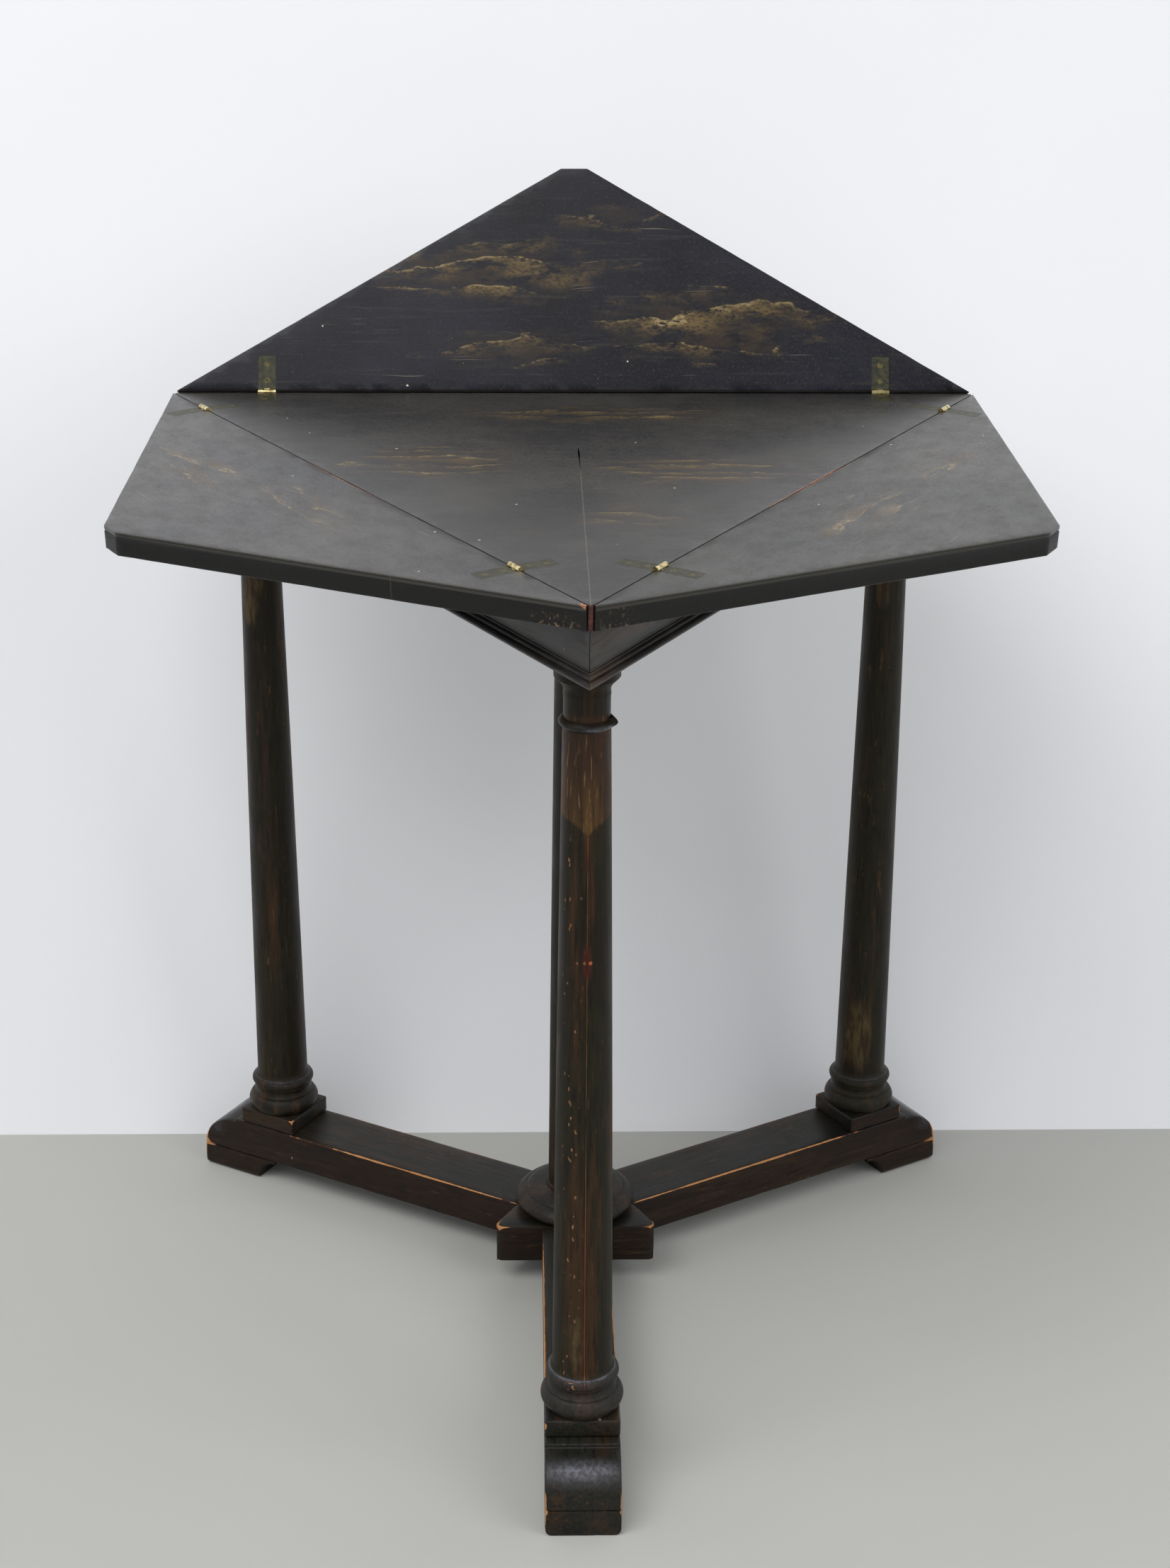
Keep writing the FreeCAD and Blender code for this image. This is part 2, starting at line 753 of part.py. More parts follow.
def screw(name, place, head_face, points, length, shank, head, head_height):
    """Countersunk screw whose head lies flush with a face; points is UP or DOWN."""
    x, y = place
    if points is DOWN:
        cone = taper(name + "_head", shank, head, head_height,
                     (x, y, f"{head_face} - {head_height}"))
        stem = rod(name + "_stem", shank, length, (x, y, f"{head_face} - {length}"), UP)
    else:
        cone = taper(name + "_head", head, shank, head_height, (x, y, head_face))
        stem = rod(name + "_stem", shank, length, (x, y, head_face), UP)
    return joined(name, [cone, stem])


def screw_hole(name, place, head_face, points, through, shank, head, head_height):
    """Cutters for a clearance hole with a countersink in a face."""
    x, y = place
    wide = f"{shank} + fit_gap"
    mouth = f"{head} + fit_gap"
    if points is DOWN:
        cone = taper(name + "_sink", wide, mouth, head_height,
                     (x, y, f"{head_face} - {head_height}"))
        stem = rod(name + "_bore", wide, f"{through} + 2 * overrun",
                   (x, y, f"{head_face} - {through} - overrun"), UP)
    else:
        cone = taper(name + "_sink", mouth, wide, head_height, (x, y, head_face))
        stem = rod(name + "_bore", wide, f"{through} + 2 * overrun",
                   (x, y, f"{head_face} - overrun"), UP)
    return [cone, stem]


WOOD_SCREW = ("wood_screw_radius", "wood_screw_head_radius", "wood_screw_head_height")
HINGE_SCREW = ("hinge_screw_radius", "hinge_screw_head_radius", "hinge_screw_head_height")


def bearer_screw_places():
    """Plan places of the screws that hold the bearer down."""
    return [turned(angle, "bearer_screw_place_radius", f"{sign} * bearer_screw_spacing / 2")
            for angle in LEG_ANGLES.values() for sign in ENDS.values()]


def disc_screw_places():
    """Plan places of the screws that hold the disc to the top."""
    return [turned(angle, "disc_screw_circle_radius", "0") for angle in range(0, 360, 60)]


def frame_bearer():
    """Board across the frame that carries the pivot and the disc."""
    body = new_body("frame_bearer_blank")
    sketch = new_sketch(body, "XY_Plane", "bearer_bottom")
    corner = "(rail_inner - bearer_gap) / sin(30)"
    draw(sketch, [turned(angle, corner, "0") for angle in sorted(LEG_ANGLES.values())])
    draw_circle(sketch, "0", "0", "pivot_radius + fit_gap")
    pad(body, sketch, "bearer_thickness")
    seat = new_sketch(body, "XY_Plane", "bearer_bottom")
    draw_circle(seat, "0", "0", "abacus_radius + fit_gap")
    pocket(body, seat, "column_seat_depth", upward=True)
    tools = []
    for number, place in enumerate(bearer_screw_places()):
        tools += screw_hole(f"bearer_hole_{number}", place, "frame_top", DOWN,
                            "bearer_thickness", *WOOD_SCREW)
    return keep(cut_from("frame_bearer", body, tools))


def bearer_screws():
    return keep(group("bearer_screws", [
        screw(f"bearer_screw_{number}", place, "frame_top", DOWN, "bearer_screw_length",
              *WOOD_SCREW)
        for number, place in enumerate(bearer_screw_places())]))


# Swivel


def pivot_bolt():
    """Bolt with a flat round head; its end stands in the nut."""
    head = rod("pivot_head", "pivot_head_radius", "pivot_head_height",
               ("0", "0", "head_bottom"), UP)
    stem = rod("pivot_stem", "pivot_radius", "head_bottom - pivot_bottom",
               ("0", "0", "pivot_bottom"), UP)
    return keep(joined("pivot_bolt", [head, stem]))


def pivot_washer():
    ring = rod("washer_round", "washer_radius", "washer_thickness",
               ("0", "0", "washer_bottom"), UP)
    bore = rod("washer_bore", "pivot_radius + fit_gap", "washer_thickness + 2 * overrun",
               ("0", "0", "washer_bottom - overrun"), UP)
    return keep(cut_from("pivot_washer", ring, [bore]))


def pivot_nut():
    """Hexagon nut under the washer."""
    hexagon = doc.addObject("Part::Prism", "nut_hexagon")
    hexagon.Polygon = 6
    bind(hexagon, "Circumradius", "nut_corner_radius")
    bind(hexagon, "Height", "nut_height")
    bind(hexagon, "Placement.Base.z", "nut_bottom")
    bore = rod("nut_bore", "pivot_radius + fit_gap", "nut_height + 2 * overrun",
               ("0", "0", "nut_bottom - overrun"), UP)
    return keep(cut_from("pivot_nut", hexagon, [bore]))


def turntable_disc():
    """Disc under the top that turns on the bearer and holds the bolt's head."""
    round_blank = rod("disc_round", "disc_radius", "board_bottom - disc_bottom",
                      ("0", "0", "disc_bottom"), UP)
    bore = rod("disc_bore", "pivot_radius + pivot_running_gap", "swivel_gap + 2 * overrun",
               ("0", "0", "disc_bottom - overrun"), UP)
    counterbore = rod("disc_counterbore", "pivot_head_radius + hole_end_gap",
                      "swivel_gap + overrun", ("0", "0", "disc_bottom + pivot_head_web"), UP)
    tools = [bore, counterbore]
    for number, place in enumerate(disc_screw_places()):
        tools += screw_hole(f"disc_hole_{number}", place, "disc_bottom", UP,
                            "board_bottom - disc_bottom", *WOOD_SCREW)
    return keep(cut_from("turntable_disc", round_blank, tools))


def disc_screws():
    return keep(group("disc_screws", [
        screw(f"disc_screw_{number}", place, "disc_bottom", UP, "disc_screw_length",
              *WOOD_SCREW)
        for number, place in enumerate(disc_screw_places())]))


# Top board and leaves


def hinge_screw_distances():
    """How far from the seam a hinge's screws stand."""
    return [f"hinge_reach * {share}" for share in HINGE_SCREW_SHARES.values()]


def hinge_screw_places(side):
    """Places of a leaf's or the top's hinge screws along and away from the seam."""
    return [(along, away) for along in hinge_places(side).values()
            for away in hinge_screw_distances()]


def top_board():
    """Triangular top with blunt corners, let in for the hinges and the pivot's head."""
    body = new_body("top_board")
    sketch = new_sketch(body, "XY_Plane", "board_bottom")
    face = "seam_inradius - seam_gap / 2"
    corner = "half_side / cos(30) - top_corner_flat / 2 / tan(30)"
    face_end = f"(({corner}) - ({face}) * sin(30)) / cos(30)"
    outline = []
    for angle in sorted(SIDE_ANGLES.values()):
        outline.append(turned(angle, face, f"-({face_end})"))
        outline.append(turned(angle, face, face_end))
    draw(sketch, outline)
    pad(body, sketch, "board_thickness")
    recesses = new_sketch(body, "XY_Plane", "table_height")
    notches = new_sketch(body, "XY_Plane", "table_height")
    pilots = new_sketch(body, "XY_Plane", "table_height")
    for side, angle in SIDE_ANGLES.items():
        for along in hinge_places(side).values():
            # A place along the seam in the hinge's frame runs the other way round here.
            middle = f"-({along})"
            draw(recesses, turned_rectangle(
                angle, "seam_inradius - hinge_reach - fit_gap",
                "seam_inradius - notch_reach + overrun",
                f"{middle} - recess_half", f"{middle} + recess_half"))
            draw(notches, turned_rectangle(
                angle, "seam_inradius - notch_reach", "seam_inradius + overrun",
                f"{middle} - notch_half", f"{middle} + notch_half"))
        for along, away in hinge_screw_places(side):
            x, y = turned(angle, f"seam_inradius - {away}", f"-({along})")
            draw_circle(pilots, x, y, "hinge_screw_radius + fit_gap")
    pocket(body, recesses, "hinge_plate_thickness")
    pocket(body, notches, "notch_reach")
    pocket(body, pilots, "hinge_screw_length + hole_end_gap")
    head_recess = new_sketch(body, "XY_Plane", "board_bottom")
    draw_circle(head_recess, "0", "0", "pivot_head_radius + hole_end_gap")
    pocket(body, head_recess, "pivot_head_recess", upward=True)
    disc_pilots = new_sketch(body, "XY_Plane", "board_bottom")
    for x, y in disc_screw_places():
        draw_circle(disc_pilots, x, y, "wood_screw_radius + fit_gap")
    reach = "disc_screw_length - (board_bottom - disc_bottom)"
    pocket(body, disc_pilots, reach + " + hole_end_gap", upward=True)
    return keep(body)


def leaf(side):
    """Leaf in its hinge's frame: a low triangle with a clipped tip, hinged on its base."""
    body = new_body("leaf_" + side)
    sketch = new_sketch(body, "XY_Plane", "plate_top - board_thickness")
    edge = "seam_gap / 2"
    base_end = f"(half_side - ({edge} + leaf_side_drop) / tan(30))"
    tip_end = "leaf_tip_flat / 2"
    tip_out = f"((half_side - {tip_end}) * tan(30) - leaf_side_drop)"
    draw(sketch, [
        (f"-{base_end}", edge),
        (base_end, edge),
        (tip_end, tip_out),
        (f"-{tip_end}", tip_out),
    ])
    pad(body, sketch, "board_thickness")
    recesses = new_sketch(body, "XY_Plane", "plate_top")
    notches = new_sketch(body, "XY_Plane", "plate_top")
    pilots = new_sketch(body, "XY_Plane", "plate_top")
    for along in hinge_places(side).values():
        draw(recesses, rectangle(
            f"{along} - recess_half", f"{along} + recess_half",
            "notch_reach - overrun", "hinge_reach + fit_gap"))
        draw(notches, rectangle(
            f"{along} - notch_half", f"{along} + notch_half", "-overrun", "notch_reach"))
    for along, away in hinge_screw_places(side):
        draw_circle(pilots, along, away, "hinge_screw_radius + fit_gap")
    pocket(body, recesses, "hinge_plate_thickness")
    pocket(body, notches, "notch_reach")
    pocket(body, pilots, "hinge_screw_length + hole_end_gap")
    seat_on_seam(body, side, leaf_tilt(side))
    return keep(body)


def hinge_plate(label, side, along, way, spans, tilt):
    """Hinge strap let into a board: a flat plate and its knuckles on the pin's line.

    Way is 1 for the leaf's plate and -1 for the top's; spans are the knuckles' ends.
    """
    clear = "notch_reach"
    reach = [clear, "hinge_reach"] if way == 1 else ["-hinge_reach", f"-{clear}"]
    strap = block(label + "_strap", f"{along} - hinge_width / 2", f"{along} + hinge_width / 2",
                  *reach, "plate_bottom", "plate_top")
    shapes = [strap]
    neck = ["0", clear] if way == 1 else [f"-{clear}", "0"]
    for number, (low, high) in enumerate(spans):
        shapes.append(rod(f"{label}_knuckle_{number}", "hinge_barrel_radius",
                          f"({high}) - ({low})", (f"{along} + {low}", "0", "0"), ALONG_SEAM))
        shapes.append(block(f"{label}_neck_{number}", f"{along} + {low}", f"{along} + {high}",
                            *neck, "plate_bottom", "plate_top"))
    bore = rod(label + "_bore", "hinge_pin_radius + hinge_pin_running_gap",
               "hinge_width + 2 * overrun",
               (f"{along} - hinge_width / 2 - overrun", "0", "0"), ALONG_SEAM)
    tools = [bore]
    for number, away in enumerate(hinge_screw_distances()):
        tools += screw_hole(f"{label}_hole_{number}", (along, f"{way} * {away}"), "plate_top",
                            DOWN, "hinge_plate_thickness", *HINGE_SCREW)
    plate = cut_from(label, joined(label + "_blank", shapes), tools)
    seat_on_seam(plate, side, tilt)
    return keep(plate)


OUTER_KNUCKLES = [("-hinge_width / 2", "-knuckle_side - hinge_knuckle_gap / 2"),
                  ("knuckle_side + hinge_knuckle_gap / 2", "hinge_width / 2")]
MIDDLE_KNUCKLE = [("-knuckle_side + hinge_knuckle_gap / 2",
                   "knuckle_side - hinge_knuckle_gap / 2")]


def hinges(side):
    """Both hinges of a seam, with their pins and screws."""
    for end, along in hinge_places(side).items():
        hinge_plate(f"hinge_top_plate_{side}_{end}", side, along, -1, OUTER_KNUCKLES, 0)
        hinge_plate(f"hinge_leaf_plate_{side}_{end}", side, along, 1, MIDDLE_KNUCKLE,
                    leaf_tilt(side))
    pins = group("hinge_pins_" + side, [
        rod(f"hinge_pin_{side}_{end}", "hinge_pin_radius", "hinge_width",
            (f"{along} - hinge_width / 2", "0", "0"), ALONG_SEAM)
        for end, along in hinge_places(side).items()])
    seat_on_seam(keep(pins), side)
    for board, way, tilt in (("top", -1, 0), ("leaf", 1, leaf_tilt(side))):
        screws = group(f"hinge_screws_{board}_{side}", [
            screw(f"hinge_screw_{board}_{side}_{number}", (along, f"{way} * {away}"),
                  "plate_top", DOWN, "hinge_screw_length", *HINGE_SCREW)
            for number, (along, away) in enumerate(hinge_screw_places(side))])
        seat_on_seam(keep(screws), side, tilt)


hub_block()
centre_column()
neck_ring("centre", "column_top", ("0", "0"))
for leg_name in LEG_ANGLES:
    stretcher_arm(leg_name)
    foot_pad(leg_name)
    plinth(leg_name)
    leg(leg_name)
    neck_ring(leg_name, "frame_bottom", turned(LEG_ANGLES[leg_name], "leg_radius", "0"))
    corner_block(leg_name)
for side_name in SIDE_ANGLES:
    frame_rail(side_name)
    frame_moulding(side_name)
frame_bearer()
bearer_screws()
pivot_bolt()
pivot_washer()
pivot_nut()
turntable_disc()
disc_screws()
top_board()
for side_name in SIDE_ANGLES:
    leaf(side_name)
    hinges(side_name)

doc.recompute()

# Every object and every cut is checked before anything is written.
for item in doc.Objects:
    if "Invalid" in item.State or "Error" in item.State:
        raise RuntimeError(f"{item.Label} failed: {item.State}")
    if item.TypeId == "PartDesign::Pocket":
        removed = item.BaseFeature.Shape.Volume - item.Shape.Volume
        if removed <= 0:
            raise RuntimeError(f"{item.Label} cuts nothing")
for piece in parts:
    if piece.Shape.isNull() or not piece.Shape.isValid() or not piece.Shape.Solids:
        raise RuntimeError(f"{piece.Label} has no valid shape")

os.makedirs("parts", exist_ok=True)
for piece in parts:
    piece.Shape.exportStep(f"parts/{piece.Label}.step")
print(len(parts), "pieces written")
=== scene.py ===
# %% [markdown]
# # An old flip-top table
# The table is a triangular top on three turned legs and a centre column, with a leaf hinged to each
# side of the top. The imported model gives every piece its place, its body and its joint.
# The wooden pieces that show are modelled again here, with worn arrises, a split in the top and a
# shrinkage check in the leg, because wear is what makes an old table look old.
# Hinges, screws and the pivot keep their solids and only get a finish.

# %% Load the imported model
import json
from functools import partialmethod
from math import atan2, cos, degrees, pi, radians, sin, tan

import bmesh
import bpy
import numpy as np
from mathutils import Matrix, Vector, noise


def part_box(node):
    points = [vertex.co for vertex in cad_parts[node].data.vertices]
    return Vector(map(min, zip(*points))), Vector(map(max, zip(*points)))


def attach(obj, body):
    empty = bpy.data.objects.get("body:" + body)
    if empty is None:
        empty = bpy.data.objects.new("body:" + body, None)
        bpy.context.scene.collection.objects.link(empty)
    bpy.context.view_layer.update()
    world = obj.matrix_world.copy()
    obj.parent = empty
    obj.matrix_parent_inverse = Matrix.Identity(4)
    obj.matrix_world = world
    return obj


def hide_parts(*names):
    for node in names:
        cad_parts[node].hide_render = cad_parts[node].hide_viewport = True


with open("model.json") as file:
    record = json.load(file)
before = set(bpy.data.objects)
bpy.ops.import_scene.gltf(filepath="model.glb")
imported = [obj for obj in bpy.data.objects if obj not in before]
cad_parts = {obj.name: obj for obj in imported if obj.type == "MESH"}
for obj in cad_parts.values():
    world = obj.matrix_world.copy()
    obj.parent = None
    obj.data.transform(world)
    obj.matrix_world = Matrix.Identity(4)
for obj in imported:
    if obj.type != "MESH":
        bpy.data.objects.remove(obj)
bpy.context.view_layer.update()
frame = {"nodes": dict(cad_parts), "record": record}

# %% [markdown]
# ## Sizes
# Blender works in metres, a joiner in millimetres, so a small constant keeps the numbers readable.
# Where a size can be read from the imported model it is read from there, so that the two always agree.
# Only the small profile sizes, which a box around a piece doesn't show, are written down.

# %% Sizes of the table
MM = 0.001
LEG_ANGLES = {"front": 270, "left": 150, "right": 30}
SIDE_ANGLES = {"rear": 90, "left": 210, "right": 330}
SAG = {"left": -2.0, "right": -2.0, "rear": 69.4}

top_low, top_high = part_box("top_board")
SEAM_GAP = 1 * MM
TOP_HEIGHT = top_high.z
BOARD = top_high.z - top_low.z
SEAM_OUT = top_high.y + SEAM_GAP / 2
HALF_SIDE = SEAM_OUT * tan(radians(60))
HINGE_RISE = 0.25 * MM
HINGE_REACH = 31 * MM
HINGE_WIDTH = 15 * MM
PLATE_DEPTH = 1.5 * MM
NOTCH = 3.1 * MM

arm_low, arm_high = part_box("stretcher_front")
ARM_BOTTOM = arm_low.z
ARM_TOP = arm_high.z
ARM_WIDTH = arm_high.x - arm_low.x
FOOT_OUT = -arm_low.y
PAD_LENGTH = 60 * MM

plinth_low, plinth_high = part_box("plinth_front")
LEG_OUT = -(plinth_low.y + plinth_high.y) / 2
LEG_BOTTOM = plinth_high.z
FRAME_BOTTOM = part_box("frame_moulding_rear")[0].z
RAIL_BOTTOM, RAIL_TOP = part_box("frame_rail_rear")[0].z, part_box("frame_rail_rear")[1].z
RAIL_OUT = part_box("frame_rail_rear")[1].y
MOULDING_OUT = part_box("frame_moulding_rear")[1].y
RAIL_THICKNESS = 16 * MM
hub_low, hub_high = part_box("hub_block")
column_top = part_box("centre_column")[1].z
print("side of the top:", round(2 * HALF_SIDE, 4), "legs stand at", round(LEG_OUT, 4))

# %% [markdown]
# ## A joiner's moves
# Nearly every piece starts the same way: a chain of points is drawn by extruding one vertex, the
# chain is closed into a face or spun on the lathe's axis, and the edges are bevelled.
# Each helper is one such move, made with the edit-mode operators that a modeller would use by hand.

# %% Helpers for placing and drawing
edit = bpy.ops.mesh


def polar(angle, out, side=0.0, z=0.0):
    """Point at a distance out along an angle and to the left of it."""
    turn = radians(angle)
    return Vector((out * cos(turn) - side * sin(turn),
                   out * sin(turn) + side * cos(turn), z))


def close_edit():
    if bpy.context.mode != "OBJECT":
        bpy.ops.object.mode_set(mode="OBJECT")


def select_none():
    close_edit()
    bpy.ops.object.select_all(action="DESELECT")


def select_only(piece):
    select_none()
    piece.select_set(True)
    bpy.context.view_layer.objects.active = piece


def open_edit(piece):
    select_only(piece)
    bpy.ops.object.mode_set(mode="EDIT")
    edit.select_all(action="DESELECT")


def draw_chain(name, points, closed=True):
    """Draw a chain: a plane is merged to one vertex, which is extruded from point to point."""
    select_none()
    edit.primitive_plane_add(size=MM, location=points[0])
    piece = bpy.context.object
    piece.name = name
    bpy.ops.object.transform_apply()
    bpy.ops.object.mode_set(mode="EDIT")
    edit.merge(type="CENTER")
    course = points + points[:1] if closed else points
    for here, there in zip(course, course[1:]):
        edit.extrude_region_move(TRANSFORM_OT_translate={"value": there - here})
    edit.select_all(action="SELECT")
    if closed:
        edit.remove_doubles(threshold=0.01 * MM)
        edit.edge_face_add()
    return piece


def raise_outline(name, points, way):
    """Solid from a closed outline, extruded along a direction. It stays in edit mode."""
    piece = draw_chain(name, points)
    edit.extrude_region_move(TRANSFORM_OT_translate={"value": way})
    edit.select_all(action="SELECT")
    edit.normals_make_consistent(inside=False)
    return piece


def place(piece, matrix):
    """Move a finished mesh to its place, and leave the object unturned at the origin."""
    select_only(piece)
    piece.matrix_world = matrix
    bpy.ops.object.transform_apply()


def turn_z(angle):
    return Matrix.Rotation(radians(angle), 4, "Z")


# %% Helpers for shaping edges
ARRIS_ANGLE = 35


def is_sharp(edge, least=ARRIS_ANGLE):
    return len(edge.link_faces) == 2 and edge.calc_face_angle() > radians(least)


def crisp_edges(piece, least=ARRIS_ANGLE):
    """Ends of each edge where two faces meet at an arris."""
    close_edit()
    shape = bmesh.new()
    shape.from_mesh(piece.data)
    ends = [[corner.co.copy() for corner in edge.verts] for edge in shape.edges if is_sharp(edge, least)]
    shape.free()
    return ends


def bevel(piece, width, segments=3, where=None):
    """Round every arris a little, or only those whose middle passes a test."""
    open_edit(piece)
    edit.select_mode(type="EDGE")
    if where:
        for edge in bmesh.from_edit_mesh(piece.data).edges:
            edge.select_set(is_sharp(edge) and where((edge.verts[0].co + edge.verts[1].co) / 2))
        bmesh.update_edit_mesh(piece.data)
    else:
        edit.edges_select_sharp(sharpness=radians(ARRIS_ANGLE))
    edit.bevel(offset=width, segments=segments, affect="EDGES", clamp_overlap=True)
    edit.select_mode(type="VERT")


def pick_points(piece, test):
    """Select the points that pass a test, in edit mode."""
    edit.select_all(action="DESELECT")
    shape = bmesh.from_edit_mesh(piece.data)
    for corner in shape.verts:
        corner.select_set(test(corner.co))
    shape.select_flush(True)
    bmesh.update_edit_mesh(piece.data)


def slice_up(piece, step, axes=(0, 1, 2)):
    """Cut a piece across each axis again and again, so that its flat faces get points of their own."""
    for axis in axes:
        open_edit(piece)
        reach = [corner.co[axis] for corner in bmesh.from_edit_mesh(piece.data).verts]
        low, high = min(reach), max(reach)
        count = int((high - low) / step)
        normal = Vector([1.0 if number == axis else 0.0 for number in range(3)])
        for number in range(1, count + 1):
            edit.select_all(action="SELECT")
            spot = normal * (low + (high - low) * number / (count + 1))
            edit.bisect(plane_co=spot, plane_no=normal)
    close_edit()


def spin_up(steps, angle=360):
    """Spin a chain of points round the axis into a closed skin."""
    edit.spin(steps=steps, angle=radians(angle), center=(0, 0, 0), axis=(0, 0, 1))
    edit.select_all(action="SELECT")
    edit.remove_doubles(threshold=0.01 * MM)
    edit.normals_make_consistent(inside=False)
    close_edit()


def cut_away(piece, cutter):
    """Take one solid out of another."""
    select_only(piece)
    cut = piece.modifiers.new("cut", "BOOLEAN")
    cut.operation = "DIFFERENCE"
    cut.solver = "EXACT"
    cut.object = cutter
    bpy.ops.object.modifier_apply(modifier=cut.name)
    bpy.data.objects.remove(cutter)


def box_cutter(low, high, matrix):
    """Block between two corners, put in place by a matrix."""
    select_none()
    edit.primitive_cube_add(size=1, location=(low + high) / 2)
    block = bpy.context.object
    block.scale = high - low
    bpy.ops.object.transform_apply()
    block.matrix_world = matrix
    bpy.ops.object.transform_apply()
    return block


# %% [markdown]
# ## Wear
# Hands, feet and dusters take the stain off the arrises first. Two things follow from that: the
# arris itself gets soft and uneven, and the colour goes from black through brown to bare wood.
# The first is done in the mesh. For the second each point keeps its distance to the nearest arris
# in an attribute, which the finishes read, so the bare wood follows the real edges of the piece.
# A second attribute keeps where each point lay on the bench, so the grain runs along every piece
# whichever way it is turned on the table, and a third marks the few places rubbed right through.

# %% Helpers for wear
FAR = 50.0


def points_of(piece, kind="co"):
    spots = np.empty(len(piece.data.vertices) * 3)
    piece.data.vertices.foreach_get(kind, spots)
    return spots.reshape(-1, 3)


def arris_distances(spots, arrises):
    """Distance in millimetres of each point to the nearest arris."""
    nearest = np.full(len(spots), FAR)
    for start, finish in arrises:
        along = np.array(finish - start)
        share = np.clip((spots - np.array(start)) @ along / max(along @ along, 1e-12), 0, 1)
        gap = np.linalg.norm(spots - (np.array(start) + share[:, None] * along), axis=1)
        nearest = np.minimum(nearest, gap / MM)
    return nearest


def keep_values(piece, **values):
    """Store values for the finishes to read, with one number or one vector a point."""
    for name, numbers in values.items():
        kind, field = ("FLOAT", "value") if np.ndim(numbers) == 1 else ("FLOAT_VECTOR", "vector")
        store = piece.data.attributes.new(name, kind, "POINT")
        store.data.foreach_set(field, np.ravel(numbers))


def ease_arrises(piece, distances, depth, reach, seed):
    """Sink the points near an arris by an uneven amount, as wear does."""
    spots = points_of(piece)
    offset = Vector((seed * 7.3, seed * 3.1, seed * 1.7))
    sink = np.zeros(len(spots))
    for number in np.flatnonzero(distances < reach):
        spot = Vector(spots[number])
        ripple = 0.5 + 0.5 * noise.noise(spot * 45 + offset)
        chip = max(noise.noise(spot * 120 + offset) - 0.3, 0) * 2
        sink[number] = depth * (1 - distances[number] / reach) * (ripple + chip)
    spots -= points_of(piece, "normal") * sink[:, None]
    piece.data.vertices.foreach_set("co", np.ravel(spots))
    piece.data.update()


def rubbed(spots, places):
    """How much each point is rubbed through, in ovals: a centre, three sizes in mm and a strength."""
    amount = np.zeros(len(spots))
    for centre, size, strength in places:
        away = np.linalg.norm((spots - np.array(centre)) / MM / size, axis=1)
        amount = np.maximum(amount, strength * np.clip(1 - away, 0, 1))
    return amount


def lay_on_bench(piece, arrises, depth=0.5 * MM, reach=2.5, seed=1, rubs=(), shift=None, scuffs=()):
    """Wear a piece that still lies in its own frame, and keep what its finish needs."""
    close_edit()
    spots = points_of(piece)
    distances = arris_distances(spots, arrises)
    normals = points_of(piece, "normal")
    start = np.array(shift if shift is not None else (seed * 1.37, seed * 0.71, seed * 0.29))
    keep_values(piece, arris=distances, rubbed=rubbed(spots, rubs), nicked=rubbed(spots, scuffs),
                bench=spots + start, facing=np.hypot(normals[:, 0], normals[:, 2]))
    ease_arrises(piece, distances, depth, reach, seed)


def settle(piece, node, slot, finish=None, smooth=38):
    """Finish a piece: smooth it, give it its finish, hide the solid that it stands for, and let it ride on
    that body.
    """
    select_only(piece)
    bpy.ops.object.shade_smooth_by_angle(angle=radians(smooth))
    piece.data.name = piece.name
    piece.data.materials.clear()
    piece.data.materials.append(finishes[finish or slot])
    bodies = frame["record"]["behaviour"]["bodies"]
    body = next(name for name, members in bodies.items() if node in members)
    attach(piece, body)
    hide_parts(node)
    print(piece.name, len(piece.data.polygons), "faces on", body)


# %% [markdown]
# ## Finishes
# All colour comes from nodes. What comes out of a node is kept as a wire, which is added to and
# multiplied like a number. The small functions are the moves that every finish needs, such as clouds
# of noise, a smooth step between two values, or coats of colour laid over each other.

# %% Node helpers
finishes = {}


class Wire:
    """An output of a node. Reckoning with it, as in wire * 2 + other, adds the Math nodes."""

    def __init__(self, socket):
        self.socket = socket
        self.tree = socket.id_data

    def output(self, name):
        return Wire(self.socket.node.outputs[name])

    def reckon(self, operation, other=0.0):
        return add(self.tree, "ShaderNodeMath", {0: self, 1: other}, operation=operation)

    def __rsub__(self, other):
        return add(self.tree, "ShaderNodeMath", {0: other, 1: self}, operation="SUBTRACT")

    __add__ = partialmethod(reckon, "ADD")
    __sub__ = partialmethod(reckon, "SUBTRACT")
    __mul__ = partialmethod(reckon, "MULTIPLY")
    __truediv__ = partialmethod(reckon, "DIVIDE")
    __pow__ = partialmethod(reckon, "POWER")
    __abs__ = partialmethod(reckon, "ABSOLUTE")


def feed(node, name, wire):
    """Link a wire to an input of a node."""
    node.id_data.links.new(wire.socket, node.inputs[name])


def add(tree, kind, values=None, output=0, **settings):
    """Add a node, with a wire or a plain value for each input, and give the wire of its output."""
    node = tree.nodes.new(kind)
    for name, setting in settings.items():
        setattr(node, name, setting)
    for name, value in (values or {}).items():
        if isinstance(value, Wire):
            feed(node, name, value)
        else:
            node.inputs[name].default_value = value
    return Wire(node.outputs[output])


# %% Moves that every finish needs


def stored(tree, name, output="Fac"):
    """A value that the mesh keeps for each point."""
    return add(tree, "ShaderNodeAttribute", output=output, attribute_name=name)


def stretch(vector, scale, turn=(0, 0, 0), shift=(0, 0, 0)):
    """Coordinates moved, turned and scaled."""
    values = {"Vector": vector, "Scale": scale, "Rotation": turn, "Location": shift}
    return add(vector.tree, "ShaderNodeMapping", values)


def part(vector, axis):
    return add(vector.tree, "ShaderNodeSeparateXYZ", {0: vector}, axis)


